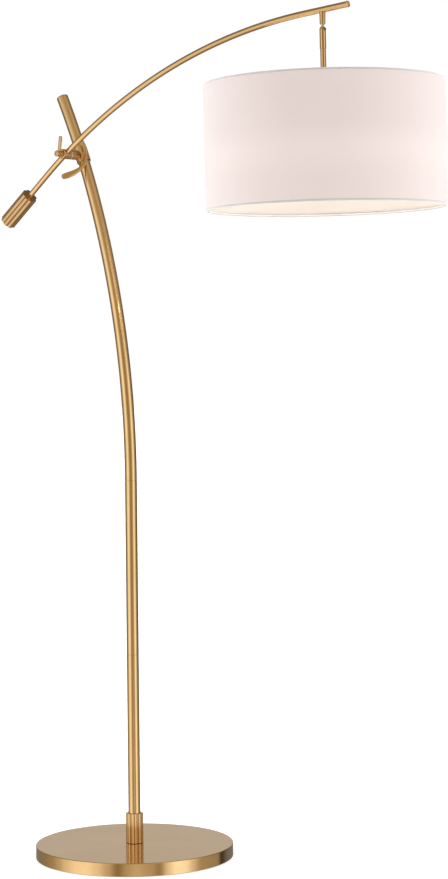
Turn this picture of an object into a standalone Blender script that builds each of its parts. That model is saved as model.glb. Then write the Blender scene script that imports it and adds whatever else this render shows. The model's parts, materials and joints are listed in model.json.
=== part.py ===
"""Boom-arm arc floor lamp: round weighted base, curved pole, counterweighted boom and drum shade.

Frame: metres, +Z up.  The origin is the centre of the base's underside.  The pole bends in the
XZ plane towards -X, and the boom reaches towards +X in a parallel plane on the pole's -Y side.
"""
import math

import bmesh
import bpy
from mathutils import Matrix, Vector

# ---------------------------------------------------------------- driving dimensions (metres)
GAP = 0.0003

BASE_R = 0.2095
BASE_T = 0.0280
BASE_SHEET = 0.0015
PAD_T = 0.0022
PAD_R = 0.2040

SLEEVE_R = 0.0184
SLEEVE_H = 0.0640

POLE_R = 0.0127
POLE_WALL = 0.0015
POLE_JOINT_Z = 0.4300
BEND_START_Z = 0.8000
POLE_BEND_R = 1.7960
POLE_TOP_ANGLE = math.radians(27.3)
COLLAR_ANGLE = math.radians(22.8)

BOOM_OFFSET = 0.0480
BOOM_R = 0.0060
BOOM_WALL = 0.0010
BOOM_BEND_R = 1.3830
BOOM_ANGLE_AT_COLLAR = math.radians(33.0)
BOOM_ANGLE_REAR = math.radians(36.1)
BOOM_ANGLE_TIP = math.radians(3.0)
BOOM_TIP_LENGTH = 0.1120
WEIGHT_START = 0.0673
WEIGHT_LENGTH = 0.0900
WEIGHT_R = 0.0176
WEIGHT_TURN = math.radians(14)
LOBES = 8

COLLAR_R = 0.0152
COLLAR_H = 0.0310
BARREL_R = 0.0105
BARREL_END = 0.0360
HEAD_END = 0.0595
KNOB_END = 0.0755
KNOB_R = 0.0065

STEM_X = 0.5900
BALL_DROP = 0.0272
BALL_R = 0.0040
HOUSING_R = 0.0062
STEM_R = 0.0056
HOUSING_BOTTOM_Z = 1.6450

SHADE_R = 0.2318
SHADE_TOP_Z = 1.5811
SHADE_H = 0.2421
SHADE_LEAN = math.radians(0.87)
LEAN_SIDE = math.radians(-32)
FABRIC_T = 0.0005
LINER_T = 0.0010
RING_R = 0.0015

SPIDER_Z = 1.5540
SOCKET_R = 0.0165
SOCKET_TOP_Z = 1.5500
SOCKET_BOTTOM_Z = 1.4870
BULB_BOTTOM_Z = 1.4080
BULB_R = 0.0300
BULB_WALL = 0.0008

FULL_TURN = 2.0 * math.pi
X_AXIS = Vector((1, 0, 0))
Y_AXIS = Vector((0, 1, 0))
Z_AXIS = Vector((0, 0, 1))

# ------------------------------------------------------------------------- derived positions
POLE_CENTRE = Vector((-POLE_BEND_R, 0, BEND_START_Z))


def pole_point(angle):
    """A point on the pole's centre line, this far round its bend."""
    return POLE_CENTRE + POLE_BEND_R * Vector((math.cos(angle), 0, math.sin(angle)))


def pole_direction(angle):
    """The upward tangent of the pole at this angle round its bend."""
    return Vector((-math.sin(angle), 0, math.cos(angle)))


COLLAR = pole_point(COLLAR_ANGLE)
COLLAR_UP = pole_direction(COLLAR_ANGLE)
CLAMP = COLLAR - BOOM_OFFSET * Y_AXIS
BOOM_CENTRE = CLAMP + BOOM_BEND_R * Vector(
    (math.sin(BOOM_ANGLE_AT_COLLAR), 0, -math.cos(BOOM_ANGLE_AT_COLLAR))
)


def boom_point(angle):
    """A point on the boom's bent stretch, where its slope is this angle."""
    return BOOM_CENTRE + BOOM_BEND_R * Vector((-math.sin(angle), 0, math.cos(angle)))


def boom_direction(angle):
    """The boom's direction towards the shade, where its slope is this angle."""
    return Vector((math.cos(angle), 0, math.sin(angle)))


BOOM_REAR = boom_point(BOOM_ANGLE_REAR)
REAR_DIRECTION = boom_direction(BOOM_ANGLE_REAR)
TIP_START = boom_point(BOOM_ANGLE_TIP)
TIP_DIRECTION = boom_direction(BOOM_ANGLE_TIP)
STEM_TOP = TIP_START + TIP_DIRECTION * ((STEM_X - TIP_START.x) / TIP_DIRECTION.x)
BALL = STEM_TOP - BALL_DROP * Z_AXIS
# The stem and the shade hang a little out of plumb: their frame leans about the ball's centre.
STEM_AXIS = (
    Matrix.Translation(BALL)
    @ Matrix.Rotation(SHADE_LEAN, 4, Vector((math.cos(LEAN_SIDE), math.sin(LEAN_SIDE), 0)))
    @ Matrix.Translation(-BALL.z * Z_AXIS)
)
STEM_UP = (STEM_AXIS.to_3x3() @ Z_AXIS).normalized()

# --------------------------------------------------------------------------------- materials
COLOURS = {
    # name: (colour, roughness, metallic)
    "satin_brass": ((0.60, 0.37, 0.14, 1), 0.32, 1.0),
    "brushed_brass": ((0.58, 0.40, 0.22, 1), 0.28, 1.0),
    "steel": ((0.55, 0.55, 0.56, 1), 0.40, 1.0),
    "cast_weight": ((0.33, 0.32, 0.31, 1), 0.85, 0.0),
    "black_foam": ((0.03, 0.03, 0.03, 1), 0.90, 0.0),
    "nylon": ((0.85, 0.84, 0.80, 1), 0.50, 0.0),
    "linen": ((0.88, 0.85, 0.82, 1), 0.90, 0.0),
    "liner": ((0.95, 0.92, 0.88, 1), 0.60, 0.0),
    "white_wire": ((0.85, 0.84, 0.82, 1), 0.40, 0.0),
    "phenolic": ((0.05, 0.045, 0.04, 1), 0.35, 0.0),
    "frosted_glass": ((0.97, 0.95, 0.90, 1), 0.30, 0.0),
}


def make_material(name):
    colour, roughness, metallic = COLOURS[name]
    material = bpy.data.materials.get(name) or bpy.data.materials.new(name)
    material.use_nodes = True
    shader = material.node_tree.nodes["Principled BSDF"]
    shader.inputs["Base Color"].default_value = colour
    shader.inputs["Roughness"].default_value = roughness
    shader.inputs["Metallic"].default_value = metallic
    return material


# ----------------------------------------------------------------------------- mesh building
def frame_at(origin, along, side=Y_AXIS):
    """A matrix at origin whose Z runs along the given direction and whose Y is nearest to side."""
    z = along.normalized()
    x = side.cross(z).normalized()
    y = z.cross(x)
    return Matrix.Translation(origin) @ Matrix((x, y, z)).transposed().to_4x4()


def loft(name, rings, closed, material, matrix=None):
    """A solid through rings of points; a closed one runs back to its first ring, as a tube does."""
    mesh = bpy.data.meshes.new(name)
    built = bmesh.new()
    loops = [[built.verts.new(point) for point in ring] for ring in rings]
    pairs = list(zip(loops, loops[1:]))
    if closed:
        pairs.append((loops[-1], loops[0]))
    for low, high in pairs:
        count = len(low)
        for i in range(count):
            built.faces.new((low[i], low[(i + 1) % count], high[(i + 1) % count], high[i]))
    if not closed:
        built.faces.new(loops[0])
        built.faces.new(loops[-1])
    bmesh.ops.recalc_face_normals(built, faces=built.faces)
    built.to_mesh(mesh)
    built.free()
    mesh.shade_smooth()
    mesh.set_sharp_from_angle(angle=math.radians(35))
    item = bpy.data.objects.new(name, mesh)
    bpy.context.collection.objects.link(item)
    item.data.materials.append(make_material(material))
    if matrix is not None:
        item.matrix_world = matrix
    return item


def circle(radius, z, sides, turn=0.0):
    step = FULL_TURN / sides
    return [
        Vector((radius * math.cos(turn + step * i), radius * math.sin(turn + step * i), z))
        for i in range(sides)
    ]


def turned(name, profile, material, matrix, sides=24, closed=False, turn=0.0):
    """A turned piece from (radius, height) points, solid between its ends or closed round a bore."""
    rings = [circle(radius, z, sides, turn) for radius, z in profile]
    return loft(name, rings, closed, material, matrix)


def sleeve_profile(outer, inner, low, high, chamfer=0.0):
    """The closed profile of a plain tube, with its outer ends chamfered."""
    points = [(inner, low), (outer - chamfer, low)]
    if chamfer:
        points += [(outer, low + chamfer), (outer, high - chamfer)]
    points += [(outer - chamfer, high), (inner, high)]
    return points


def hex_nut(name, apothem, bore, low, high, matrix):
    """A hexagonal nut with a round bore, its corners on every fourth point of the outline."""
    sides = 24

    def outline(z):
        points = []
        for i in range(sides):
            angle = FULL_TURN * i / sides
            reach = apothem / math.cos(angle % (FULL_TURN / 6) - FULL_TURN / 12)
            points.append(Vector((reach * math.cos(angle), reach * math.sin(angle), z)))
        return points

    rings = [outline(low), outline(high), circle(bore, high, sides), circle(bore, low, sides)]
    return loft(name, rings, True, "steel", matrix)


def swept_tube(name, centres, directions, outer, inner, material, sides):
    """A bent tube in the XZ plane: rings square to its centre line, out along one face and back."""

    def ring(radius, centre, direction):
        across = Y_AXIS.cross(direction).normalized()
        return [
            centre + radius * (math.cos(a) * across + math.sin(a) * Y_AXIS)
            for a in (FULL_TURN * i / sides for i in range(sides))
        ]

    stations = list(zip(centres, directions))
    rings = [ring(outer, centre, direction) for centre, direction in stations]
    rings += [ring(inner, centre, direction) for centre, direction in reversed(stations)]
    return loft(name, rings, True, material)


def lobed_ring(radius, depth, z, per_lobe, turn=0.0):
    """A ring of rounded lobes with narrow flutes between them; one lobe is centred at the turn angle."""
    count = LOBES * per_lobe
    points = []
    for i in range(count):
        flute = abs(math.sin(math.pi * i / per_lobe)) ** 3
        angle = FULL_TURN * i / count + turn
        reach = radius - depth * flute
        points.append(Vector((reach * math.cos(angle), reach * math.sin(angle), z)))
    return points


def cutter(name, item):
    item.name = name
    item.hide_render = True
    item.display_type = "WIRE"
    return item


def boolean(item, other, operation):
    modifier = item.modifiers.new(operation.lower(), "BOOLEAN")
    modifier.operation = operation
    modifier.solver = "EXACT"
    modifier.object = other
    return item


def rod_cutter(name, origin, along, radius, sides=20):
    """A round cutter or joined rod that starts at origin and runs along the given vector."""
    length = along.length
    item = turned(name, [(radius, 0), (radius, length)], "steel", frame_at(origin, along, X_AXIS), sides)
    return cutter(name, item)


def drill(item, name, origin, along, radius, sides=20):
    return boolean(item, rod_cutter(name, origin, along, radius, sides), "DIFFERENCE")


# --------------------------------------------------------------------------------- joint axes
def joint_empty(name, matrix, parent=None):
    """An empty on a joint's axis, which is its local Z."""
    empty = bpy.data.objects.new(name, None)
    bpy.context.collection.objects.link(empty)
    empty.empty_display_size = 0.03
    empty.matrix_world = matrix
    if parent is not None:
        attach(empty, parent)
    return empty


def attach(item, empty):
    """Parent an item to a joint's empty and keep its place."""
    bpy.context.view_layer.update()
    place = item.matrix_world.copy()
    item.parent = empty
    item.matrix_world = place


# ---------------------------------------------------------------------------------- the stand
NUT_APOTHEM = 0.0080
NIPPLE_R = 0.0048
HOLE_R = 0.0052
RECESS_R = 0.0130
RECESS_TOP_Z = 0.0120
BUSHING_R = 0.0048
WORLD = Matrix.Identity(4)


def build_base():
    top = BASE_T
    skirt = BASE_R - BASE_SHEET
    edge = 0.0022
    cover = turned(
        "base_cover",
        [
            (HOLE_R, top), (BASE_R - edge, top), (BASE_R - 0.3 * edge, top - 0.3 * edge),
            (BASE_R, top - edge), (BASE_R, PAD_T * 0.5), (skirt, PAD_T * 0.5),
            (skirt, top - BASE_SHEET), (HOLE_R, top - BASE_SHEET),
        ],
        "brushed_brass", WORLD, sides=48, closed=True,
    )
    inner = skirt - GAP
    weight_low = PAD_T + GAP
    weight = turned(
        "base_weight",
        [
            (HOLE_R, top - BASE_SHEET - GAP), (inner, top - BASE_SHEET - GAP), (inner, weight_low),
            (RECESS_R, weight_low), (RECESS_R, RECESS_TOP_Z), (HOLE_R, RECESS_TOP_Z),
        ],
        "cast_weight", WORLD, sides=48, closed=True,
    )
    turned("base_pad", [(PAD_R, 0), (PAD_R, PAD_T)], "black_foam", WORLD, sides=36)
    bushing_z = 0.5 * BASE_T
    bushing_out = BASE_R + 0.0030
    back = frame_at(Vector((0, bushing_out, bushing_z)), -Y_AXIS, X_AXIS)
    turned(
        "cord_bushing",
        [
            (0.0030, 0), (0.0060, 0), (0.0066, 0.0006), (0.0066, 0.0025), (BUSHING_R, 0.0027),
            (BUSHING_R, 0.0100), (0.0030, 0.0100),
        ],
        "phenolic", back, sides=12, closed=True,
    )
    outward = Vector((0, 0.0300, 0))
    drill(cover, "bushing_hole", Vector((0, BASE_R - 0.0150, bushing_z)), outward, BUSHING_R + GAP)
    drill(weight, "cord_channel", Vector((0, BASE_R - 0.0300, bushing_z)), outward, BUSHING_R + 0.0012)


def build_base_fixings():
    turned(
        "base_washer",
        sleeve_profile(0.0115, NIPPLE_R + GAP, RECESS_TOP_Z - GAP - 0.0016, RECESS_TOP_Z - GAP),
        "steel", WORLD, sides=20, closed=True,
    )
    nut_top = RECESS_TOP_Z - 2 * GAP - 0.0016
    hex_nut("base_nut", NUT_APOTHEM, NIPPLE_R + GAP, nut_top - 0.0060, nut_top, WORLD)
    turned(
        "base_nipple", sleeve_profile(NIPPLE_R, 0.0032, 0.0032, 0.0780),
        "steel", WORLD, sides=16, closed=True,
    )


def build_sleeve():
    """The fluted sleeve round the pole's foot, with a shallow rounded edge at its top."""
    low = BASE_T + GAP
    high = low + SLEEVE_H
    depth = 0.0024
    per_lobe = 4
    edge = 0.0014
    rings = [
        lobed_ring(SLEEVE_R, depth, low, per_lobe), lobed_ring(SLEEVE_R, depth, high - edge, per_lobe),
        lobed_ring(SLEEVE_R - edge, depth, high, per_lobe),
    ]
    inner = POLE_R + GAP
    count = LOBES * per_lobe
    rings += [circle(inner, high, count), circle(inner, low, count)]
    loft("base_sleeve", rings, True, "satin_brass", WORLD)


def build_pole():
    inner = POLE_R - POLE_WALL
    foot = BASE_T + GAP
    joint_gap = 0.5 * GAP
    turned(
        "pole_foot", sleeve_profile(inner - GAP, NIPPLE_R + GAP, foot, foot + 0.0400),
        "steel", WORLD, sides=20, closed=True,
    )
    turned(
        "pole_lower", sleeve_profile(POLE_R, inner, foot, POLE_JOINT_Z - joint_gap),
        "satin_brass", WORLD, sides=24, closed=True,
    )
    turned(
        "pole_middle", sleeve_profile(POLE_R, inner, POLE_JOINT_Z + joint_gap, BEND_START_Z - joint_gap),
        "satin_brass", WORLD, sides=24, closed=True,
    )
    for name, z in (("pole_coupler_lower", POLE_JOINT_Z), ("pole_coupler_upper", BEND_START_Z)):
        turned(
            name, sleeve_profile(inner - 2 * GAP, inner - 0.0022, z - 0.0180, z + 0.0180),
            "steel", WORLD, sides=16, closed=True,
        )
    steps = 14
    angles = [POLE_TOP_ANGLE * i / steps for i in range(steps + 1)]
    centres = [Vector((0, 0, BEND_START_Z + joint_gap))] + [pole_point(angle) for angle in angles[1:]]
    directions = [pole_direction(angle) for angle in angles]
    swept_tube("pole_upper", centres, directions, POLE_R, inner, "satin_brass", sides=16)
    cap_frame = frame_at(pole_point(POLE_TOP_ANGLE), pole_direction(POLE_TOP_ANGLE))
    spigot = inner - GAP
    turned(
        "pole_cap",
        [
            (spigot, -0.0100), (spigot, GAP), (POLE_R, GAP), (POLE_R, 0.0012),
            (POLE_R - 0.0012, 0.0024), (POLE_R - 0.0060, 0.0030), (0.0008, 0.0032),
        ],
        "satin_brass", cap_frame, sides=16,
    )


# ----------------------------------------------------------------------- the collar and clamp
LINER_OUT = 0.0137
SPINDLE_R = 0.0045
CLAMP_SCREW_R = 0.0027
LEVER_SIDE = math.radians(38)
LEVER_DROP = 0.0080


def build_collar():
    """The nylon liner, the T-shaped collar with its barrel, and the grub screw in the barrel."""
    along_pole = frame_at(COLLAR, COLLAR_UP)
    half = 0.5 * COLLAR_H
    liner = turned(
        "collar_liner", sleeve_profile(LINER_OUT, POLE_R + 0.0005, -half + 0.0010, half - 0.0010),
        "nylon", along_pole, sides=24, closed=True,
    )
    collar = turned(
        "collar",
        sleeve_profile(COLLAR_R, LINER_OUT + GAP, -half, half, chamfer=0.0008),
        "satin_brass", along_pole, sides=24, closed=True,
    )
    start = COLLAR - (LINER_OUT + 0.0009) * Y_AXIS
    barrel = rod_cutter("barrel_rod", start, -(BARREL_END - LINER_OUT - 0.0009) * Y_AXIS, BARREL_R)
    boolean(collar, barrel, "UNION")
    bore_end = COLLAR - (LINER_OUT - 0.0010) * Y_AXIS
    drill(collar, "barrel_bore", bore_end, -0.0400 * Y_AXIS, SPINDLE_R + GAP, 16)
    radial, screw_start = lever_axis()
    boss = rod_cutter("lever_boss", screw_start + 0.0003 * radial, 0.0037 * radial, 0.0058, 16)
    boolean(collar, boss, "UNION")
    drill(collar, "lever_hole", COLLAR - LEVER_DROP * COLLAR_UP, 0.0400 * radial, CLAMP_SCREW_R + GAP, 16)
    grub_down = -COLLAR_UP
    grub_at = COLLAR - 0.0250 * Y_AXIS
    drill(collar, "grub_hole", grub_at, 0.0200 * grub_down, 0.0018, 12)
    grub = turned(
        "barrel_grub_screw", [(0.0015, 0.0036), (0.0015, BARREL_R - 0.0010)],
        "steel", frame_at(grub_at, grub_down), sides=12,
    )
    return liner, [collar, grub]


def lever_axis():
    """The radial direction of the collar's clamp screw, and where it meets the collar's wall."""
    sideways = Y_AXIS.cross(COLLAR_UP)
    radial = math.cos(LEVER_SIDE) * sideways - math.sin(LEVER_SIDE) * Y_AXIS
    return radial, COLLAR - LEVER_DROP * COLLAR_UP + (LINER_OUT + GAP) * radial


def curved_bar(name, points, widths, thickness, material, matrix):
    """A flat bar with rounded edges through points in the local XY plane, this wide at each."""
    smooth = 3
    sides = 8
    centres, half_widths = [], []
    for i in range(len(points) - 1):
        before = points[max(i - 1, 0)]
        after = points[min(i + 2, len(points) - 1)]
        for k in range(smooth):
            t = k / smooth
            here, there = points[i], points[i + 1]
            centres.append(catmull_rom(before, here, there, after, t))
            half_widths.append(0.5 * (widths[i] + (widths[i + 1] - widths[i]) * t))
    centres.append(points[-1])
    half_widths.append(0.5 * widths[-1])
    rings = []
    for i, centre in enumerate(centres):
        ahead = centres[min(i + 1, len(centres) - 1)] - centres[max(i - 1, 0)]
        across = Vector((-ahead.y, ahead.x, 0)).normalized()
        rings.append([
            centre + half_widths[i] * math.cos(a) * across + 0.5 * thickness * math.sin(a) * Z_AXIS
            for a in (FULL_TURN * k / sides for k in range(sides))
        ])
    return loft(name, rings, False, material, matrix)


def catmull_rom(before, here, there, after, t):
    return 0.5 * (
        2 * here + (there - before) * t
        + (2 * before - 5 * here + 4 * there - after) * t * t
        + (3 * here - before - 3 * there + after) * t * t * t
    )


def build_collar_lever():
    """The collar's clamp screw and its crescent lever, an upright wing that sweeps into a paddle."""
    radial, screw_start = lever_axis()
    hub_frame = frame_at(screw_start, radial, Z_AXIS)
    hub_low = 0.0040 + 2 * GAP
    screw = turned(
        "collar_clamp_screw", [(CLAMP_SCREW_R, 0.0002), (CLAMP_SCREW_R, hub_low + 0.0020)],
        "steel", hub_frame, sides=12,
    )
    hub = turned(
        "collar_lever", [(0.0046, hub_low), (0.0052, hub_low + 0.0006), (0.0052, hub_low + 0.0056)],
        "satin_brass", hub_frame, sides=16,
    )
    crescent = [
        Vector((-0.0022, 0.0318, 0)), Vector((-0.0002, 0.0270, 0)), Vector((0.0026, 0.0180, 0)),
        Vector((0.0042, 0.0060, 0)), Vector((0.0042, -0.0070, 0)), Vector((0.0016, -0.0200, 0)),
        Vector((-0.0068, -0.0310, 0)), Vector((-0.0190, -0.0400, 0)), Vector((-0.0330, -0.0468, 0)),
        Vector((-0.0440, -0.0505, 0)), Vector((-0.0480, -0.0515, 0)),
    ]
    widths = [0.0046, 0.0064, 0.0078, 0.0084, 0.0084, 0.0080, 0.0080, 0.0108, 0.0134, 0.0116, 0.0070]
    bar_frame = hub_frame @ Matrix.Translation((0, 0, hub_low + 0.0044))
    bar = curved_bar("lever_crescent", crescent, widths, 0.0060, "satin_brass", bar_frame)
    boolean(hub, cutter("lever_crescent", bar), "UNION")
    drill(hub, "lever_screw_hole", screw_start + 0.0010 * radial, 0.0075 * radial, CLAMP_SCREW_R + GAP, 12)
    return [screw, hub]


def build_clamp_head():
    """The head that turns on the barrel's spindle and grips the boom in its cross hole."""
    outwards = frame_at(COLLAR, -Y_AXIS, COLLAR_UP)
    washer = turned(
        "friction_washer",
        sleeve_profile(BARREL_R - 0.0008, SPINDLE_R + GAP, BARREL_END + GAP, BARREL_END + 0.0011),
        "nylon", outwards, sides=20, closed=True,
    )
    low = BARREL_END + 0.0014
    head = turned(
        "clamp_head",
        [
            (BARREL_R - 0.0008, low), (BARREL_R, low + 0.0008), (BARREL_R, HEAD_END - 0.0010),
            (BARREL_R - 0.0010, HEAD_END),
        ],
        "satin_brass", outwards, sides=20,
    )
    direction = boom_direction(BOOM_ANGLE_AT_COLLAR)
    drill(head, "boom_hole", CLAMP - 0.0200 * direction, 0.0400 * direction, BOOM_R + 0.0005, 16)
    drill(head, "screw_hole", CLAMP - 0.0030 * Y_AXIS, -0.0200 * Y_AXIS, CLAMP_SCREW_R + GAP, 12)
    drill(head, "spindle_hole", COLLAR - (low - 0.0100) * Y_AXIS, -0.0130 * Y_AXIS, SPINDLE_R + GAP, 16)
    spindle = turned(
        "pivot_spindle",
        [
            (SPINDLE_R, 0.0160), (SPINDLE_R, 0.0228), (0.0032, 0.0232), (0.0032, 0.0268),
            (SPINDLE_R, 0.0272), (SPINDLE_R, low + 0.0024),
        ],
        "steel", outwards, sides=16,
    )
    return [washer, head, spindle]


def build_boom_knob():
    """The clamp screw's knob beyond the head, with its upright lever."""
    outwards = frame_at(COLLAR, -Y_AXIS, COLLAR_UP)
    low = HEAD_END + GAP
    screw = turned(
        "boom_clamp_screw",
        [(CLAMP_SCREW_R, BOOM_OFFSET + BOOM_R + 0.0005), (CLAMP_SCREW_R, low + 0.0060)],
        "steel", outwards, sides=12,
    )
    knob = turned(
        "boom_knob",
        [
            (KNOB_R - 0.0006, low), (KNOB_R, low + 0.0006), (KNOB_R, KNOB_END - 0.0008),
            (KNOB_R - 0.0008, KNOB_END), (0.0008, KNOB_END + 0.0003),
        ],
        "satin_brass", outwards, sides=18,
    )
    lean = math.radians(9)
    upwards = Vector((math.sin(lean), 0, math.cos(lean)))
    lever_at = COLLAR - (low + 0.0072) * Y_AXIS
    lever_frame = frame_at(lever_at, -Y_AXIS, upwards)
    points = [Vector((0, height, 0)) for height in (0.0005, 0.0130, 0.0250, 0.0370)]
    widths = [0.0070, 0.0068, 0.0074, 0.0078]
    bar = curved_bar("boom_lever_bar", points, widths, 0.0056, "satin_brass", lever_frame)
    boolean(knob, cutter("boom_lever_bar", bar), "UNION")
    hole_start = COLLAR - (low - 0.0050) * Y_AXIS
    drill(knob, "knob_screw_hole", hole_start, -0.0115 * Y_AXIS, CLAMP_SCREW_R + GAP, 12)
    return [screw, knob]


# ------------------------------------------------------------------------------------ the boom
ROD_END = WEIGHT_START + WEIGHT_LENGTH - 0.0070


def build_boom():
    inner = BOOM_R - BOOM_WALL
    steps = 20
    bend = [
        BOOM_ANGLE_REAR + (BOOM_ANGLE_TIP - BOOM_ANGLE_REAR) * i / steps for i in range(steps + 1)
    ]
    centres = [BOOM_REAR - ROD_END * REAR_DIRECTION] + [boom_point(angle) for angle in bend]
    centres.append(TIP_START + BOOM_TIP_LENGTH * TIP_DIRECTION)
    directions = [REAR_DIRECTION] + [boom_direction(angle) for angle in bend] + [TIP_DIRECTION]
    arm = swept_tube("boom_arm", centres, directions, BOOM_R, inner, "satin_brass", sides=12)
    drill(arm, "wire_hole", STEM_TOP, -0.0120 * Z_AXIS, 0.0030, 12)
    tip = frame_at(TIP_START + BOOM_TIP_LENGTH * TIP_DIRECTION, TIP_DIRECTION)
    spigot = inner - GAP
    cap = turned(
        "boom_tip_cap",
        [
            (spigot, -0.0080), (spigot, GAP), (BOOM_R + 0.0004, GAP), (BOOM_R + 0.0004, 0.0020),
            (BOOM_R - 0.0006, 0.0030), (0.0030, 0.0034), (0.0006, 0.0036),
        ],
        "satin_brass", tip, sides=12,
    )
    return [arm, cap]


def build_counterweight():
    """The fluted weight on the boom's rear end, its threaded plug and its end screw."""
    towards_rear = frame_at(BOOM_REAR, -REAR_DIRECTION)
    low = WEIGHT_START
    high = low + WEIGHT_LENGTH
    depth = 0.0030
    edge = 0.0005
    per_lobe = 4
    count = LOBES * per_lobe
    bore = BOOM_R + GAP
    seat = ROD_END + GAP
    outer = [
        lobed_ring(WEIGHT_R - inset, depth, low + along, per_lobe, WEIGHT_TURN)
        for inset, along in (
            (edge, 0), (0, edge), (0, WEIGHT_LENGTH - edge), (edge, WEIGHT_LENGTH),
        )
    ]
    inside = [
        circle(0.0062, high, count), circle(0.0062, high - 0.0030, count),
        circle(0.0024, high - 0.0030, count), circle(0.0024, seat, count),
        circle(bore, seat, count), circle(bore, low, count),
    ]
    weight = loft("counterweight", outer + inside, True, "satin_brass", towards_rear)
    plug_r = BOOM_R - BOOM_WALL - GAP
    plug = turned(
        "boom_end_plug", sleeve_profile(plug_r, 0.0023, ROD_END - 0.0160, ROD_END - 0.0002),
        "steel", towards_rear, sides=12, closed=True,
    )
    screw = turned(
        "counterweight_screw",
        [
            (0.0020, ROD_END - 0.0120), (0.0020, high - 0.0027), (0.0056, high - 0.0027),
            (0.0056, high - 0.0006), (0.0044, high),
        ],
        "steel", towards_rear, sides=12,
    )
    return [weight, plug, screw]


def build_hanger():
    """The short stub under the boom: its head follows the tube, its foot is the ball's cup."""
    top = frame_at(BALL, Z_AXIS, Y_AXIS)
    cup = BALL_R + GAP
    wire = 0.0026
    stub = turned(
        "hanger_stub",
        [
            (cup, -0.0005), (0.0050, -0.0005), (0.0055, 0.0004), (0.0060, BALL_DROP - 0.0010),
            (wire, BALL_DROP - 0.0010), (wire, 0.0040), (0.0036, 0.0032), (cup, 0.0016),
        ],
        "satin_brass", top, sides=20, closed=True,
    )
    saddle_start = STEM_TOP - 0.0200 * TIP_DIRECTION
    drill(stub, "saddle", saddle_start, 0.0400 * TIP_DIRECTION, BOOM_R + GAP, 20)
    screw = turned(
        "hanger_nipple",
        sleeve_profile(wire - GAP, 0.0015, 0.0080, BALL_DROP - BOOM_R + 0.0030),
        "steel", top, sides=12, closed=True,
    )
    return [stub, screw]


# --------------------------------------------------------------------------- the stem and ball
SPIGOT_R = 0.0030
SWIVEL_SCREW_SIDE = math.radians(-4)


def build_ball_stud():
    """The ball in the hanger's cup, on a neck and a grooved spigot that the stem turns on."""
    steps = 6
    ball = []
    for i in range(steps + 1):
        angle = math.radians(12 + (142 - 12) * i / steps)
        ball.append((BALL_R * math.sin(angle), BALL_R * math.cos(angle)))
    neck = ball[-1][0]
    spigot = [
        (neck, -0.0068), (SPIGOT_R, -0.0072), (SPIGOT_R, -0.0092), (0.0022, -0.0096),
        (0.0022, -0.0116), (SPIGOT_R, -0.0120), (SPIGOT_R, -0.0200),
    ]
    top = frame_at(BALL, STEM_UP, Y_AXIS)
    return [turned("ball_stud", ball + spigot, "satin_brass", top, sides=16)]


def build_stem():
    housing_top = BALL.z - 0.0055
    housing_low = HOUSING_BOTTOM_Z
    axis = STEM_AXIS
    bore = SPIGOT_R + GAP
    tube_bore = 0.0038
    housing = turned(
        "swivel_housing",
        [
            (bore, housing_top), (0.0040, housing_top), (0.0054, housing_top - 0.0010),
            (HOUSING_R, housing_top - 0.0030), (HOUSING_R, housing_low), (tube_bore, housing_low),
            (tube_bore, BALL.z - 0.0210), (bore, BALL.z - 0.0206),
        ],
        "satin_brass", axis, sides=20, closed=True,
    )
    groove = axis @ Vector((0, 0, BALL.z - 0.0106))
    screw_way = axis.to_3x3() @ Vector((math.cos(SWIVEL_SCREW_SIDE), math.sin(SWIVEL_SCREW_SIDE), 0))
    drill(housing, "swivel_screw_hole", groove, 0.0120 * screw_way, 0.0013 + GAP, 12)
    screw = turned(
        "swivel_screw", [(0.0009, 0.0026), (0.0013, 0.0030), (0.0013, HOUSING_R - 0.0004)],
        "phenolic", frame_at(groove, screw_way, STEM_UP), sides=12,
    )
    tube = turned(
        "stem_tube", sleeve_profile(STEM_R, tube_bore, SPIDER_Z + 0.0022, housing_low - GAP),
        "satin_brass", axis, sides=20, closed=True,
    )
    nipple_r = tube_bore - GAP
    nipple = turned(
        "stem_nipple", sleeve_profile(nipple_r, 0.0022, 1.5440, SPIDER_Z + 0.0150),
        "steel", axis, sides=12, closed=True,
    )
    inner_nipple = turned(
        "stem_coupler", sleeve_profile(nipple_r, 0.0022, housing_low - 0.0120, housing_low + 0.0120),
        "steel", axis, sides=12, closed=True,
    )
    return [housing, screw, tube, nipple, inner_nipple]


# ----------------------------------------------------------------------------------- the shade
SHADE_SIDES = 40


def ring_profile(radius, z, wire, points=5):
    return [
        (radius + wire * math.cos(FULL_TURN * i / points), z + wire * math.sin(FULL_TURN * i / points))
        for i in range(points)
    ]


def build_shade():
    axis = STEM_AXIS
    top = SHADE_TOP_Z
    low = SHADE_TOP_Z - SHADE_H
    sides = SHADE_SIDES
    lip = 0.0005
    fabric_in = SHADE_R - FABRIC_T
    liner_out = fabric_in - GAP
    liner_in = liner_out - LINER_T
    fabric = turned(
        "shade_fabric", sleeve_profile(SHADE_R, fabric_in, low + lip + GAP, top - lip - GAP),
        "linen", axis, sides, closed=True,
    )
    liner = turned(
        "shade_liner", sleeve_profile(liner_out, liner_in, low + lip + GAP, top - lip - GAP),
        "liner", axis, sides, closed=True,
    )
    outer = SHADE_R + GAP
    fold = 0.0060
    trims = []
    for name, edge, inward in (("shade_trim_top", top, -1), ("shade_trim_bottom", low, 1)):
        profile = [
            (liner_in, edge), (outer + lip, edge), (outer + lip, edge + inward * fold),
            (outer, edge + inward * fold), (outer, edge + inward * lip), (liner_in, edge + inward * lip),
        ]
        trims.append(turned(name, profile, "linen", axis, sides, closed=True))
    ring_r = liner_in - GAP - RING_R
    ring_top_z = top - 0.0030
    bottom_ring = turned(
        "shade_bottom_ring", ring_profile(ring_r, low + 0.0030, RING_R),
        "white_wire", axis, sides, closed=True,
    )
    return [fabric, liner] + trims + [bottom_ring, build_spider(axis, ring_r, ring_top_z)]


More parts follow.
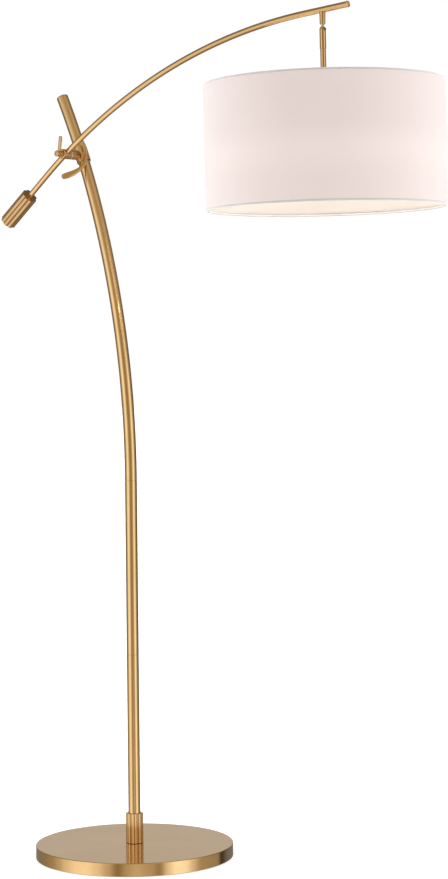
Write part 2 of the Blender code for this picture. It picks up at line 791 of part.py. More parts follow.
def build_spider(axis, ring_r, ring_z):
    """The wire frame: a flat hub on the stem's foot, three cranked arms and the top ring."""
    hub_r = 0.0150
    hub = turned(
        "shade_spider", sleeve_profile(hub_r, 0.0041, SPIDER_Z, SPIDER_Z + 0.0018),
        "white_wire", axis, sides=20, closed=True,
    )
    ring_shape = ring_profile(ring_r, ring_z, RING_R)
    ring = turned("spider_ring", ring_shape, "white_wire", axis, SHADE_SIDES, closed=True)
    boolean(hub, cutter("spider_ring", ring), "UNION")
    arm_z = SPIDER_Z + 0.0009
    arm_r = 0.0016
    for i in range(3):
        turn = math.radians(30 + 120 * i)
        out = Vector((math.cos(turn), math.sin(turn), 0))
        side = Z_AXIS.cross(out)
        path = [
            (hub_r - 0.0040, arm_z), (0.0300, arm_z), (0.1500, arm_z + 0.0030),
            (ring_r - 0.0220, ring_z - 0.0080), (ring_r + 0.0004, ring_z),
        ]
        rings = [
            [
                out * reach + Z_AXIS * z
                + arm_r * (math.cos(a) * side + math.sin(a) * Z_AXIS)
                for a in (FULL_TURN * k / 6 for k in range(6))
            ]
            for reach, z in path
        ]
        name = f"spider_arm_{i + 1}"
        arm = loft(name, rings, False, "white_wire", axis)
        boolean(hub, cutter(name, arm), "UNION")
    return hub


# ------------------------------------------------------------------------------------ the light
def build_socket():
    axis = STEM_AXIS
    wall = 0.0008
    hole = 0.0038
    nut = SPIDER_Z - GAP
    spider_nut = hex_nut("spider_nut", 0.0065, hole, nut - 0.0030, nut, axis)
    split = SOCKET_TOP_Z - 0.0200
    cap = turned(
        "socket_cap",
        [
            (hole, SOCKET_TOP_Z), (0.0070, SOCKET_TOP_Z), (0.0125, SOCKET_TOP_Z - 0.0060),
            (SOCKET_R, SOCKET_TOP_Z - 0.0130), (SOCKET_R, split + GAP), (SOCKET_R - wall, split + GAP),
            (SOCKET_R - wall, SOCKET_TOP_Z - 0.0127), (0.0120, SOCKET_TOP_Z - 0.0068),
            (0.0067, SOCKET_TOP_Z - wall), (hole, SOCKET_TOP_Z - wall),
        ],
        "satin_brass", axis, sides=20, closed=True,
    )
    shell = turned(
        "socket_shell", sleeve_profile(SOCKET_R, SOCKET_R - wall, SOCKET_BOTTOM_Z, split),
        "satin_brass", axis, sides=20, closed=True,
    )
    body_r = SOCKET_R - wall - GAP
    inner_r = 0.0138
    insulator = turned(
        "socket_body",
        [
            (body_r, SOCKET_BOTTOM_Z + 0.0010), (body_r, split + 0.0040), (0.0006, split + 0.0040),
            (0.0006, split - 0.0060), (inner_r, split - 0.0060), (inner_r, SOCKET_BOTTOM_Z + 0.0010),
        ],
        "phenolic", axis, sides=20, closed=True,
    )
    knob_z = split - 0.0030
    side = axis @ frame_at(Vector((0, 0, knob_z)), -Y_AXIS, Z_AXIS)
    way = axis.to_3x3() @ (-0.0100 * Y_AXIS)
    drill(shell, "switch_hole", axis @ Vector((0, -0.0120, knob_z)), way, 0.0026, 12)
    knob = turned(
        "switch_knob",
        [
            (0.0022, body_r + GAP), (0.0022, 0.0215), (0.0052, 0.0218), (0.0056, 0.0224),
            (0.0056, 0.0296), (0.0046, 0.0306), (0.0008, 0.0309),
        ],
        "phenolic", side, sides=12,
    )
    return [spider_nut, cap, shell, insulator], knob


def build_bulb():
    """The lamp: its metal screw cap, and the frosted envelope, open at its neck."""
    axis = STEM_AXIS
    cap_top = SOCKET_TOP_Z - 0.0270
    cap = turned(
        "bulb_cap",
        [
            (0.0040, cap_top), (0.0126, cap_top - 0.0040), (0.0131, cap_top - 0.0060),
            (0.0131, SOCKET_BOTTOM_Z + 0.0060), (0.0110, SOCKET_BOTTOM_Z + 0.0060),
            (0.0110, cap_top - 0.0060), (0.0040, cap_top - 0.0040),
        ],
        "steel", axis, sides=16, closed=True,
    )
    centre_z = BULB_BOTTOM_Z + BULB_R
    neck = (0.0133, SOCKET_BOTTOM_Z + 0.0056)
    outer = [neck, (0.0140, SOCKET_BOTTOM_Z - 0.0040), (0.0190, SOCKET_BOTTOM_Z - 0.0160)]
    first, last, steps = math.radians(38), math.radians(-88), 6
    for i in range(steps + 1):
        angle = first + (last - first) * i / steps
        outer.append((BULB_R * math.cos(angle), centre_z + BULB_R * math.sin(angle)))
    inner = [(max(radius - BULB_WALL, 0.0004), z) for radius, z in outer[:5]]
    for i in range(2, steps + 1):
        angle = first + (last - first) * i / steps
        radius = BULB_R - BULB_WALL
        inner.append((max(radius * math.cos(angle), 0.0004), centre_z + radius * math.sin(angle)))
    glass = turned("bulb_glass", outer + inner[::-1], "frosted_glass", axis, sides=18, closed=True)
    return [cap, glass]


# --------------------------------------------------------------------------------------- build
def main():
    for item in list(bpy.data.objects):
        bpy.data.objects.remove(item, do_unlink=True)

    build_base()
    build_base_fixings()
    build_sleeve()
    build_pole()

    height = joint_empty("joint_collar_height", frame_at(POLE_CENTRE, -Y_AXIS, Z_AXIS))
    swivel = joint_empty("joint_collar_swivel", frame_at(COLLAR, COLLAR_UP), height)
    radial, screw_start = lever_axis()
    collar_screw = joint_empty("joint_collar_lever", frame_at(screw_start, radial, Z_AXIS), swivel)
    tilt = joint_empty("joint_boom_tilt", frame_at(CLAMP, -Y_AXIS, Z_AXIS), swivel)
    knob_turn = joint_empty("joint_boom_knob", frame_at(CLAMP, -Y_AXIS, Z_AXIS), tilt)
    slide = joint_empty("joint_boom_slide", frame_at(BOOM_CENTRE, -Y_AXIS, Z_AXIS), tilt)
    shade_tilt = joint_empty("joint_shade_tilt", frame_at(BALL, -Y_AXIS, Z_AXIS), slide)
    shade_turn = joint_empty("joint_shade_turn", frame_at(BALL, STEM_UP), shade_tilt)

    liner, collar_pieces = build_collar()
    attach(liner, height)
    socket_pieces, switch_knob = build_socket()
    switch_turn = joint_empty("joint_switch_turn", switch_knob.matrix_world.copy(), shade_turn)
    groups = (
        (swivel, collar_pieces),
        (collar_screw, build_collar_lever()),
        (tilt, build_clamp_head()),
        (knob_turn, build_boom_knob()),
        (slide, build_boom() + build_counterweight() + build_hanger()),
        (shade_tilt, build_ball_stud()),
        (shade_turn, build_stem() + build_shade() + socket_pieces + build_bulb()),
        (switch_turn, [switch_knob]),
    )
    for empty, pieces in groups:
        for piece in pieces:
            attach(piece, empty)


main()
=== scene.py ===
"""The looks of the boom-arm arc floor lamp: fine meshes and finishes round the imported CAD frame.

Metres, +Z up.  The pole bends in the XZ plane towards -X, the boom reaches towards +X on the
pole's -Y side, and the drum shade hangs from the boom's tip.
"""
import json
from math import asin, atan2, copysign, cos, pi, radians, sin, sqrt

import bmesh
import bpy
from mathutils import Matrix, Vector


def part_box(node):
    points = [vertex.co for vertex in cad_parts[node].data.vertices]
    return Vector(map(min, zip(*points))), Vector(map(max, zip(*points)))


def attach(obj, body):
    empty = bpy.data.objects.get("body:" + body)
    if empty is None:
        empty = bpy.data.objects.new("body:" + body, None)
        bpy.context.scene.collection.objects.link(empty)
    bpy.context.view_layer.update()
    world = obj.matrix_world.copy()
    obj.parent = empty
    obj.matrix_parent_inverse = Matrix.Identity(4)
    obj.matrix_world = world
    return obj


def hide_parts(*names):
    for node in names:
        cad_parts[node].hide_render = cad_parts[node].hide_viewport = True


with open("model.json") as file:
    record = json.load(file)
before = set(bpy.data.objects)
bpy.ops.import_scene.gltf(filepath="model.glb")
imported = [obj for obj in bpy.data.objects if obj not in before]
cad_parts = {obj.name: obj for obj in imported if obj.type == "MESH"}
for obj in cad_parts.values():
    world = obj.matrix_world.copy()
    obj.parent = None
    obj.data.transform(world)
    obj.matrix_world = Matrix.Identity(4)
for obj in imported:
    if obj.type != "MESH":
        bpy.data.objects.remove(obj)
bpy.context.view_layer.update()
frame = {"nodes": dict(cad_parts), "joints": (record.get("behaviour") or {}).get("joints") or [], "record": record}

TURN = 2.0 * pi
X_AXIS = Vector((1, 0, 0))
Y_AXIS = Vector((0, 1, 0))
Z_AXIS = Vector((0, 0, 1))
WORLD = Matrix.Identity(4)
SURFACE = "surface"
# the usual clearance between two pieces
GAP = 0.0003

# ---- places, read from the frame
JOINTS = {joint["name"]: joint for joint in frame["joints"]}


def joint_place(name):
    return Vector(JOINTS[name]["pos_m"])


def joint_axis(name):
    return Vector(JOINTS[name]["axis"]).normalized()


def size_of(node):
    low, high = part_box(node)
    return Vector(high) - Vector(low)


def foot_of(node):
    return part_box(node)[0][2]


def top_of(node):
    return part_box(node)[1][2]


BASE_R = 0.5 * size_of("base_cover").x
BASE_TOP = top_of("base_cover")
BASE_LOW = foot_of("base_cover")
SLEEVE_LOW = foot_of("base_sleeve")
SLEEVE_TOP = top_of("base_sleeve")
SLEEVE_R = 0.5 * size_of("base_sleeve").x

POLE_R = 0.5 * size_of("pole_lower").x
POLE_CENTRE = joint_place("collar_height")
COLLAR = joint_place("collar_swivel")
COLLAR_UP = joint_axis("collar_swivel")
POLE_BEND_R = (COLLAR - POLE_CENTRE).length
POLE_TOP_ANGLE = asin((top_of("pole_upper") - POLE_CENTRE.z) / (POLE_BEND_R + POLE_R))
COLLAR_H = 0.031
COLLAR_R = 0.0152

CLAMP = joint_place("boom_tilt")
OUTWARD = joint_axis("boom_tilt")
LEVER_HUB = joint_place("collar_lever_turn")
LEVER_OUT = joint_axis("collar_lever_turn")
BARREL_R = 0.0105
BARREL_END = 0.036
HEAD_END = -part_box("clamp_head")[0][1]
KNOB_R = 0.0065
KNOB_END = -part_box("boom_knob")[0][1]

BOOM_R = 0.5 * size_of("boom_arm").y
BOOM_CENTRE = joint_place("boom_slide")
BOOM_BEND_R = (CLAMP - BOOM_CENTRE).length
BOOM_ANGLE_REAR = radians(36.1)
BOOM_ANGLE_TIP = radians(3.0)
BOOM_TIP_LENGTH = 0.112
WEIGHT_START = 0.0673
WEIGHT_LENGTH = 0.09
WEIGHT_R = 0.0176
WEIGHT_TURN = radians(14)
LOBES = 8

BALL = joint_place("shade_tilt")
STEM_UP = joint_axis("shade_turn")
AXIS = (
    Matrix.Translation(BALL)
    @ Z_AXIS.rotation_difference(STEM_UP).to_matrix().to_4x4()
    @ Matrix.Translation(-BALL.z * Z_AXIS)
)
STEM_TOP_Z = BALL.z + 0.0272
HOUSING_LOW = 1.645
SPIDER_Z = 1.554

SHADE_R = 0.2318
SHADE_TOP = 1.5811
SHADE_LOW = SHADE_TOP - 0.2421
LINER_R = SHADE_R - 0.0008
LINER_IN = LINER_R - 0.001
SHADE_SIDES = 192
SHADE_LEVELS = 24
SEAM_ANGLE = radians(135)
SOCKET_TOP = 1.55
SOCKET_SPLIT = 1.53
SOCKET_LOW = 1.487
SOCKET_R = 0.0165
BULB_LOW = 1.408
BULB_R = 0.03
BULB_MIDDLE = 1.435
SCREW_SIDE = radians(-4)


def frame_at(origin, along, side=Y_AXIS):
    """A matrix at origin whose Z runs along the given direction and whose Y is nearest to side."""
    z = along.normalized()
    x = side.cross(z).normalized()
    y = z.cross(x)
    return Matrix.Translation(origin) @ Matrix((x, y, z)).transposed().to_4x4()


def polar(radius, angle, z):
    return Vector((radius * cos(angle), radius * sin(angle), z))


def boom_direction(angle):
    return Vector((cos(angle), 0, sin(angle)))


def pole_direction(angle):
    return Vector((-sin(angle), 0, cos(angle)))


def pole_point(angle):
    return POLE_CENTRE + POLE_BEND_R * boom_direction(angle)


def boom_point(angle):
    return BOOM_CENTRE + BOOM_BEND_R * pole_direction(angle)


BOOM_REAR = boom_point(BOOM_ANGLE_REAR)
REAR_DIRECTION = boom_direction(BOOM_ANGLE_REAR)
TIP_START = boom_point(BOOM_ANGLE_TIP)
TIP_DIRECTION = boom_direction(BOOM_ANGLE_TIP)
TIP_END = TIP_START + BOOM_TIP_LENGTH * TIP_DIRECTION

# ---- the camera and stage
CAMERA_PLACE = Vector((3.498, -3.3847, 1.032))
CAMERA_YAW = radians(43.612)
CAMERA_PITCH = radians(1.735)
CAMERA_ROLL = radians(-0.535)
CAMERA_LENS = 94.09


def make_camera():
    """A camera that looks level but for its small pitch and roll, from in front and to the right."""
    data = bpy.data.cameras.new("camera")
    data.sensor_width = 36
    data.lens = CAMERA_LENS
    data.clip_end = 200
    camera = bpy.data.objects.new("camera", data)
    bpy.context.scene.collection.objects.link(camera)
    back = Vector((
        sin(CAMERA_YAW) * cos(CAMERA_PITCH),
        -cos(CAMERA_YAW) * cos(CAMERA_PITCH),
        sin(CAMERA_PITCH),
    ))
    level = Vector((cos(CAMERA_YAW), sin(CAMERA_YAW), 0))
    upright = back.cross(level)
    right = cos(CAMERA_ROLL) * level + sin(CAMERA_ROLL) * upright
    up = cos(CAMERA_ROLL) * upright - sin(CAMERA_ROLL) * level
    turn = Matrix((right, up, back)).transposed().to_4x4()
    camera.matrix_world = Matrix.Translation(CAMERA_PLACE) @ turn
    bpy.context.scene.camera = camera


# ---- shader node helpers
class Nodes:
    """Short calls that add nodes to one material's or world's tree."""

    def __init__(self, tree):
        self.tree = tree

    def add(self, kind, settings=None, **inputs):
        node = self.tree.nodes.new("ShaderNode" + kind)
        for key, value in (settings or {}).items():
            setattr(node, key, value)
        for key, value in inputs.items():
            self.put(node, key.replace("_", " "), value)
        return node

    def put(self, node, socket, value):
        target = node.inputs[int(socket)] if socket.isdigit() else node.inputs[socket]
        if isinstance(value, bpy.types.NodeSocket):
            self.tree.links.new(value, target)
        else:
            target.default_value = value

    def math(self, operation, *values):
        node = self.add("Math", {"operation": operation})
        for i, value in enumerate(values):
            self.put(node, str(i), value)
        return node.outputs[0]

    def weigh(self, first, share, second, other_share):
        """Two values added in the given shares."""
        other = self.math("MULTIPLY", second, other_share)
        return self.math("ADD", self.math("MULTIPLY", first, share), other)

    def range(self, value, low, high, to_low=0.0, to_high=1.0, kind="LINEAR"):
        limits = {"From_Min": low, "From_Max": high, "To_Min": to_low, "To_Max": to_high}
        return self.add("MapRange", {"interpolation_type": kind}, Value=value, **limits).outputs[0]

    def fade(self, value, start, end):
        """Smoothly from 0 at start to 1 at end."""
        return self.range(value, start, end, kind="SMOOTHSTEP")

    def vary(self, noise, low, high):
        """The usual values of a noise, spread from low to high."""
        return self.range(noise, 0.3, 0.7, low, high)

    def mix(self, factor, first, second):
        node = self.add("Mix", {"data_type": "RGBA"})
        self.put(node, "0", factor)
        self.put(node, "6", first)
        self.put(node, "7", second)
        return node.outputs[2]

    def tones(self, noise, base, deep):
        """A colour that drifts between two tones with a noise."""
        return self.mix(self.vary(noise, 0.0, 1.0), colour(*base), colour(*deep))

    def noise(self, scale, detail=2.0, vector=None):
        """Noise over the piece's own place, or over the vector given."""
        node = self.add("TexNoise", Vector=vector or self.place(), Scale=scale, Detail=detail)
        return node.outputs["Fac"]

    def streaks(self, scale, detail=3.0):
        """Noise stretched differently round the piece and along it."""
        stretched = self.add("Mapping", Vector=self.surface(), Scale=scale).outputs[0]
        return self.noise(1.0, detail, stretched)

    def split(self, vector):
        return self.add("SeparateXYZ", Vector=vector).outputs

    def surface(self):
        """The piece's own surface: metres round it and along it."""
        return self.add("UVMap", {"uv_map": SURFACE}).outputs[0]

    def place(self):
        return self.add("TexCoord").outputs["Object"]

    def bump(self, height, strength, distance):
        return self.add("Bump", Height=height, Strength=strength, Distance=distance).outputs[0]

    def let_through(self, shader, base, normal, share):
        """Sends a share of the light through the surface, as thin cloth and film do."""
        through = self.add("BsdfTranslucent", Color=colour(*base), Normal=normal)
        both = self.add("MixShader", Fac=share)
        self.put(both, "1", shader.outputs[0])
        self.put(both, "2", through.outputs[0])
        self.put(self.tree.nodes["Material Output"], "Surface", both.outputs[0])


def new_material(name):
    material = bpy.data.materials.new(name)
    material.use_nodes = True
    kit = Nodes(material.node_tree)
    return material, kit, material.node_tree.nodes["Principled BSDF"]


def colour(red, green, blue):
    return (red, green, blue, 1.0)


def scaled(base, share):
    return [share * part for part in base]


# ---- materials
def brushed_metal(name, base, deep, roughness, spread, grain=(900, 18, 1), bump=0.05):
    """Plated metal: a tint that drifts slightly, and fine hairlines along the piece."""
    material, kit, shader = new_material(name)
    drift = kit.noise(14.0, 3.0)
    mottle = kit.noise(160.0)
    kit.put(shader, "Base Color", kit.tones(kit.weigh(drift, 0.75, mottle, 0.25), base, deep))
    hairline = kit.streaks(grain)
    rough = kit.math("ADD", kit.range(hairline, 0.25, 0.75, roughness - spread, roughness + spread),
                     kit.vary(drift, -0.012, 0.012))
    kit.put(shader, "Roughness", rough)
    shader.inputs["Metallic"].default_value = 1.0
    kit.put(shader, "Normal", kit.bump(hairline, bump, 0.0004))
    return material


def plain_metal(name, base, roughness):
    """Small hardware: turned steel with fine machining marks."""
    material, kit, shader = new_material(name)
    marks = kit.noise(420.0, 3.0)
    kit.put(shader, "Base Color", kit.tones(marks, base, scaled(base, 0.82)))
    kit.put(shader, "Roughness", kit.vary(marks, roughness - 0.06, roughness + 0.06))
    shader.inputs["Metallic"].default_value = 1.0
    kit.put(shader, "Normal", kit.bump(marks, 0.08, 0.0003))
    return material


def moulded(name, base, roughness, grain=900.0, strength=0.08):
    """A moulded plastic, foam or paint with a fine surface grain."""
    material, kit, shader = new_material(name)
    grit = kit.noise(grain, 3.0)
    wide = kit.noise(30.0)
    kit.put(shader, "Base Color", kit.tones(wide, base, scaled(base, 0.88)))
    kit.put(shader, "Roughness", kit.vary(grit, roughness - 0.07, roughness + 0.07))
    kit.put(shader, "Normal", kit.bump(grit, strength, 0.0003))
    return material


# the pitch of the cloth's threads, and painted light: how far and how much the cloth's colour is lightened beside
# the bulb and below it
THREAD = 0.00052
GLOW_REACH = 0.055
GLOW_BESIDE = 0.32
GLOW_BELOW = 0.3
GLOW_TONE = 1.12


def linen(name, base, deep, see_through):
    """Plain-weave cloth: warp over weft, slubs along both; painted light lightens it beside the bulb and below it.
    """
    material, kit, shader = new_material(name)
    parts = kit.split(kit.surface())
    warp, weft = [kit.math("SINE", kit.math("MULTIPLY", parts[i], TURN / THREAD)) for i in range(2)]
    weave = kit.math("MULTIPLY", warp, weft)
    upright = kit.streaks((1500, 42, 1))
    across = kit.streaks((36, 1500, 1))
    slub = kit.weigh(upright, 0.5, across, 0.5)
    cloudy = kit.streaks((9, 9, 1), 2.0)
    shade = kit.math("ADD", kit.range(slub, 0.35, 0.65, 0.0, 0.7), kit.vary(cloudy, 0.0, 0.3))
    height = kit.split(kit.place())[2]
    # painted light: the base colour turns lighter in a band beside the bulb, as its glow through the cloth, and
    # over the part below the bulb
    above = kit.fade(height, BULB_MIDDLE + GLOW_REACH, BULB_MIDDLE)
    below = kit.fade(height, BULB_MIDDLE - GLOW_REACH, BULB_MIDDLE)
    glow = kit.weigh(kit.math("MULTIPLY", above, below), GLOW_BESIDE, above, GLOW_BELOW)
    cloth = kit.mix(shade, colour(*base), colour(*deep))
    kit.put(shader, "Base Color", kit.mix(glow, cloth, colour(*scaled(base, GLOW_TONE))))
    shader.inputs["Roughness"].default_value = 0.9
    shader.inputs["Specular IOR Level"].default_value = 0.15
    shader.inputs["Sheen Weight"].default_value = 1.0
    shader.inputs["Sheen Roughness"].default_value = 0.7
    normal = kit.bump(kit.weigh(weave, 0.35, slub, 1.2), 0.22, 0.00025)
    kit.put(shader, "Normal", normal)
    kit.let_through(shader, base, normal, see_through)
    return material


def styrene(name, base):
    """The shade's plastic liner: white film with a slight orange-peel, lit from inside."""
    material, kit, shader = new_material(name)
    peel = kit.noise(260.0)
    cloudy = kit.noise(11.0)
    kit.put(shader, "Base Color", kit.tones(cloudy, base, scaled(base, 0.96)))
    kit.put(shader, "Roughness", kit.vary(peel, 0.42, 0.58))
    normal = kit.bump(peel, 0.05, 0.0004)
    kit.put(shader, "Normal", normal)
    kit.let_through(shader, base, normal, 0.35)
    return material


def lit_glass(name, strength):
    """The frosted bulb, switched on: brightest at its belly and dimmer towards its neck."""
    material, kit, shader = new_material(name)
    frost = kit.noise(500.0)
    kit.put(shader, "Base Color", kit.mix(frost, colour(0.96, 0.93, 0.88), colour(0.9, 0.86, 0.8)))
    kit.put(shader, "Roughness", kit.vary(frost, 0.28, 0.42))
    height = kit.split(kit.place())[2]
    shader.inputs["Emission Color"].default_value = colour(1.0, 0.8, 0.58)
    kit.put(shader, "Emission Strength", kit.range(height, BULB_LOW, SOCKET_LOW, strength, 0.45 * strength))
    return material


# ---- mesh building
def finish_mesh(name, built, material, matrix=WORLD, sharp=40):
    """Turns a bmesh into a shaded, linked object."""
    bmesh.ops.recalc_face_normals(built, faces=built.faces)
    mesh = bpy.data.meshes.new(name)
    built.to_mesh(mesh)
    built.free()
    mesh.shade_smooth()
    mesh.set_sharp_from_angle(angle=radians(sharp))
    item = bpy.data.objects.new(name, mesh)
    bpy.context.scene.collection.objects.link(item)
    item.data.materials.append(material)
    item.matrix_world = matrix
    weights = item.modifiers.new("weighted_normals", "WEIGHTED_NORMAL")
    weights.keep_sharp = True
    weights.weight = 70
    return item


def path_lengths(points):
    lengths = [0.0]
    for first, second in zip(points, points[1:]):
        lengths.append(lengths[-1] + (second - first).length)
    return lengths


def skin_rings(name, rings, material, matrix=WORLD, closed=False, around=0.0, along=None, sharp=40):
    """A surface through equal rings of points, closed into a solid; it carries metres on SURFACE."""
    built = bmesh.new()
    layer = built.loops.layers.uv.new(SURFACE)
    loops = [[built.verts.new(point) for point in ring] for ring in rings]
    count = len(rings[0])
    if along is None:
        along = path_lengths([ring[0] for ring in rings])
    lap = around or sum((rings[0][i] - rings[0][i - 1]).length for i in range(count))
    pairs = [(i, i + 1) for i in range(len(rings) - 1)]
    if closed:
        pairs.append((len(rings) - 1, 0))
    for low, high in pairs:
        for i in range(count):
            j = (i + 1) % count
            face = built.faces.new((loops[low][i], loops[low][j], loops[high][j], loops[high][i]))
            low_v = along[low]
            high_v = along[high] if high else along[-1] + 0.001
            corners = ((i, low_v), (i + 1, low_v), (i + 1, high_v), (i, high_v))
            for loop, (step, v) in zip(face.loops, corners):
                loop[layer].uv = (lap * step / count, v)
    if not closed:
        for end in (loops[0], loops[-1]):
            cap = built.faces.new(end)
            for loop in cap.loops:
                loop[layer].uv = (loop.vert.co.x + loop.vert.co.z, loop.vert.co.y)
    return finish_mesh(name, built, material, matrix, sharp)


def circle(radius, z, count, turn=0.0):
    return [polar(radius, turn + TURN * i / count, z) for i in range(count)]


def rounded(points):
    """Points (r, z) or (r, z, fillet); each corner with a fillet becomes an arc of that size."""
    steps = 4
    result = []
    last = len(points) - 1
    for i, point in enumerate(points):
        here = Vector(point[:2])
        if len(point) < 3 or i in (0, last):
            result.append(here)
            continue
        before = Vector(points[i - 1][:2]) - here
        after = Vector(points[i + 1][:2]) - here
        reach = min(point[2], 0.49 * before.length, 0.49 * after.length)
        start = here + reach * before.normalized()
        end = here + reach * after.normalized()
        for k in range(steps + 1):
            t = k / steps
            result.append((1 - t) ** 2 * start + 2 * t * (1 - t) * here + t ** 2 * end)
    return result


def lathe(name, outline, material, matrix=WORLD, sides=72, closed=False, sharp=40):
    """A turned piece; its outline's corners may carry fillets, and its ends may meet the axis."""
    points = rounded(outline)
    smallest = 0.00012
    rings = [circle(max(point[0], smallest), point[1], sides) for point in points]
    widest = max(point[0] for point in points)
    return skin_rings(name, rings, material, matrix, closed, TURN * widest, path_lengths(points), sharp)


def arc(centre_r, centre_z, radius, first, last, steps):
    """Points (r, z) of an outline along an arc, between two angles measured from level."""
    angles = [first + (last - first) * i / steps for i in range(steps + 1)]
    return [(centre_r + radius * cos(angle), centre_z + radius * sin(angle)) for angle in angles]


def ring_across(centre, direction, radius, count):
    """A circle of points square to a path in the XZ plane."""
    across = Y_AXIS.cross(direction).normalized()
    turns = [TURN * i / count for i in range(count)]
    return [centre + radius * cos(turn) * across + radius * sin(turn) * Y_AXIS for turn in turns]


def round_bar(name, centres, directions, radius, sides):
    """A round brass tube along a path, its two ends eased by a small chamfer."""
    ease = 0.00025
    first, last = centres[0], centres[-1]
    spots = [first, first + ease * directions[0]] + centres[1:-1] + [last - ease * directions[-1], last]
    ways = [directions[0], *directions, directions[-1]]
    radii = [radius - ease] + [radius] * len(centres) + [radius - ease]
    rings = [ring_across(spot, way, size, sides) for spot, way, size in zip(spots, ways, radii)]
    return skin_rings(name, rings, BRASS, around=TURN * radius, along=path_lengths(spots))


def lobed_outline(radius, lobe, inset, z, per_lobe, turn):
    """Eight round lobes that meet in narrow flutes; inset shrinks the outline evenly."""
    centre = radius - lobe
    small = lobe - inset
    half = pi / LOBES
    meet = centre * cos(half) + sqrt(small ** 2 - (centre * sin(half)) ** 2)
    sweep = atan2(meet * sin(half), meet * cos(half) - centre)
    points = []
    for k in range(LOBES):
        facing = turn + TURN * k / LOBES
        for i in range(per_lobe):
            bend = sweep * (2 * (i + 0.5) / per_lobe - 1)
            points.append(Vector((
                centre * cos(facing) + small * cos(facing + bend),
                centre * sin(facing) + small * sin(facing + bend),
                z,
            )))
    return points


def lobed_rings(radius, lobe, per_lobe, low, high, edge, turn=0.0):
    """Rings of a lobed upright from low to high, its two ends eased by edge."""
    levels = (
        (edge, low), (0.25 * edge, low + 0.4 * edge), (0, low + edge),
        (0, high - edge), (0.25 * edge, high - 0.4 * edge), (edge, high),
    )
    return [lobed_outline(radius, lobe, inset, z, per_lobe, turn) for inset, z in levels]


def ease_edges(item):
    """A fine bevel on the piece's sharp edges."""
    bevel = item.modifiers.new("ease", "BEVEL")
    bevel.width = 0.0004
    bevel.segments = 2
    bevel.limit_method = "ANGLE"
    bevel.angle_limit = radians(40)


def with_rod(item, operation, origin, along, radius, sides=64):
    """Joins a round rod, from origin along a vector, to the piece or cuts it out."""
    outline = [(0, 0), (radius, 0), (radius, along.length), (0, along.length)]
    rod = lathe("rod", outline, item.data.materials[0], frame_at(origin, along, X_AXIS), sides)
    modifier = item.modifiers.new(operation.lower(), "BOOLEAN")
    modifier.operation = operation
    modifier.solver = "EXACT"
    modifier.object = rod
    bpy.context.view_layer.update()
    graph = bpy.context.evaluated_depsgraph_get()
    mesh = bpy.data.meshes.new_from_object(item.evaluated_get(graph))
    item.modifiers.clear()
    item.data = mesh
    bpy.data.objects.remove(rod, do_unlink=True)
    mesh.shade_smooth()
    mesh.set_sharp_from_angle(angle=radians(35))


def put(item, body, *nodes):
    """Rides the piece on its body and stands it in for CAD nodes."""
    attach(item, body)
    if nodes:
        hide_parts(*nodes)
    return item


def turned(body, node, outline, material, matrix=WORLD, **shape):
    """A turned piece that stands in for one CAD node on its body."""
    return put(lathe("fine_" + node, outline, material, matrix, **shape), body, node)


# ---- the finishes
BRASS = brushed_metal("satin_brass", (0.76, 0.5, 0.235), (0.7, 0.445, 0.2), 0.14, 0.03)
# painted shade: the same satin brass made darker and browner, for the stem, the hanger stub, the swivel housing
# and the counterweight
SHADED_BRASS = brushed_metal("brass_painted_shade", (0.6, 0.37, 0.17), (0.54, 0.325, 0.145), 0.12, 0.02)
BRASS_TURNED = brushed_metal("turned_brass", (0.76, 0.5, 0.235), (0.7, 0.445, 0.2), 0.2, 0.03, (22, 1100, 1))
BRASS_TOP = brushed_metal(
    "base_brass", (0.66, 0.42, 0.145), (0.64, 0.4, 0.135), 0.12, 0.02, (60, 700, 1), 0.02,
)
STEEL = plain_metal("zinc_steel", (0.55, 0.55, 0.56), 0.38)
WEIGHT = moulded("cast_cement", (0.33, 0.32, 0.31), 0.85, 220.0, 0.6)
FOAM = moulded("black_foam", (0.022, 0.022, 0.022), 0.88, 700.0, 0.5)
NYLON = moulded("nylon", (0.8, 0.79, 0.75), 0.45)
PHENOLIC = moulded("phenolic", (0.035, 0.03, 0.026), 0.32, 500.0, 0.05)
WIRE_PAINT = moulded("white_paint", (0.82, 0.81, 0.79), 0.4, 600.0, 0.06)
LINEN = linen("shade_linen", (0.82, 0.705, 0.67), (0.78, 0.665, 0.625), 0.24)
# painted shade: the rolled edges take the same linen made much darker, for the shadowed line along the shade's
# rims
SHADED_HEM = linen("shade_hem", (0.46, 0.42, 0.405), (0.41, 0.37, 0.355), 0.02)
LINER = styrene("shade_styrene", (0.93, 0.9, 0.86))
GLASS = lit_glass("lit_frosted_glass", 21.0)
# the record's slots, and the finishes made for each
SLOTS = {
    "brushed_brass": (BRASS_TOP,), "satin_brass": (BRASS, SHADED_BRASS, BRASS_TURNED), "steel": (STEEL,),
    "black_foam": (FOAM,), "nylon": (NYLON,), "phenolic": (PHENOLIC,), "white_wire": (WIRE_PAINT,),
    "linen": (LINEN, SHADED_HEM), "liner": (LINER,), "frosted_glass": (GLASS,), "cast_weight": (WEIGHT,),
}


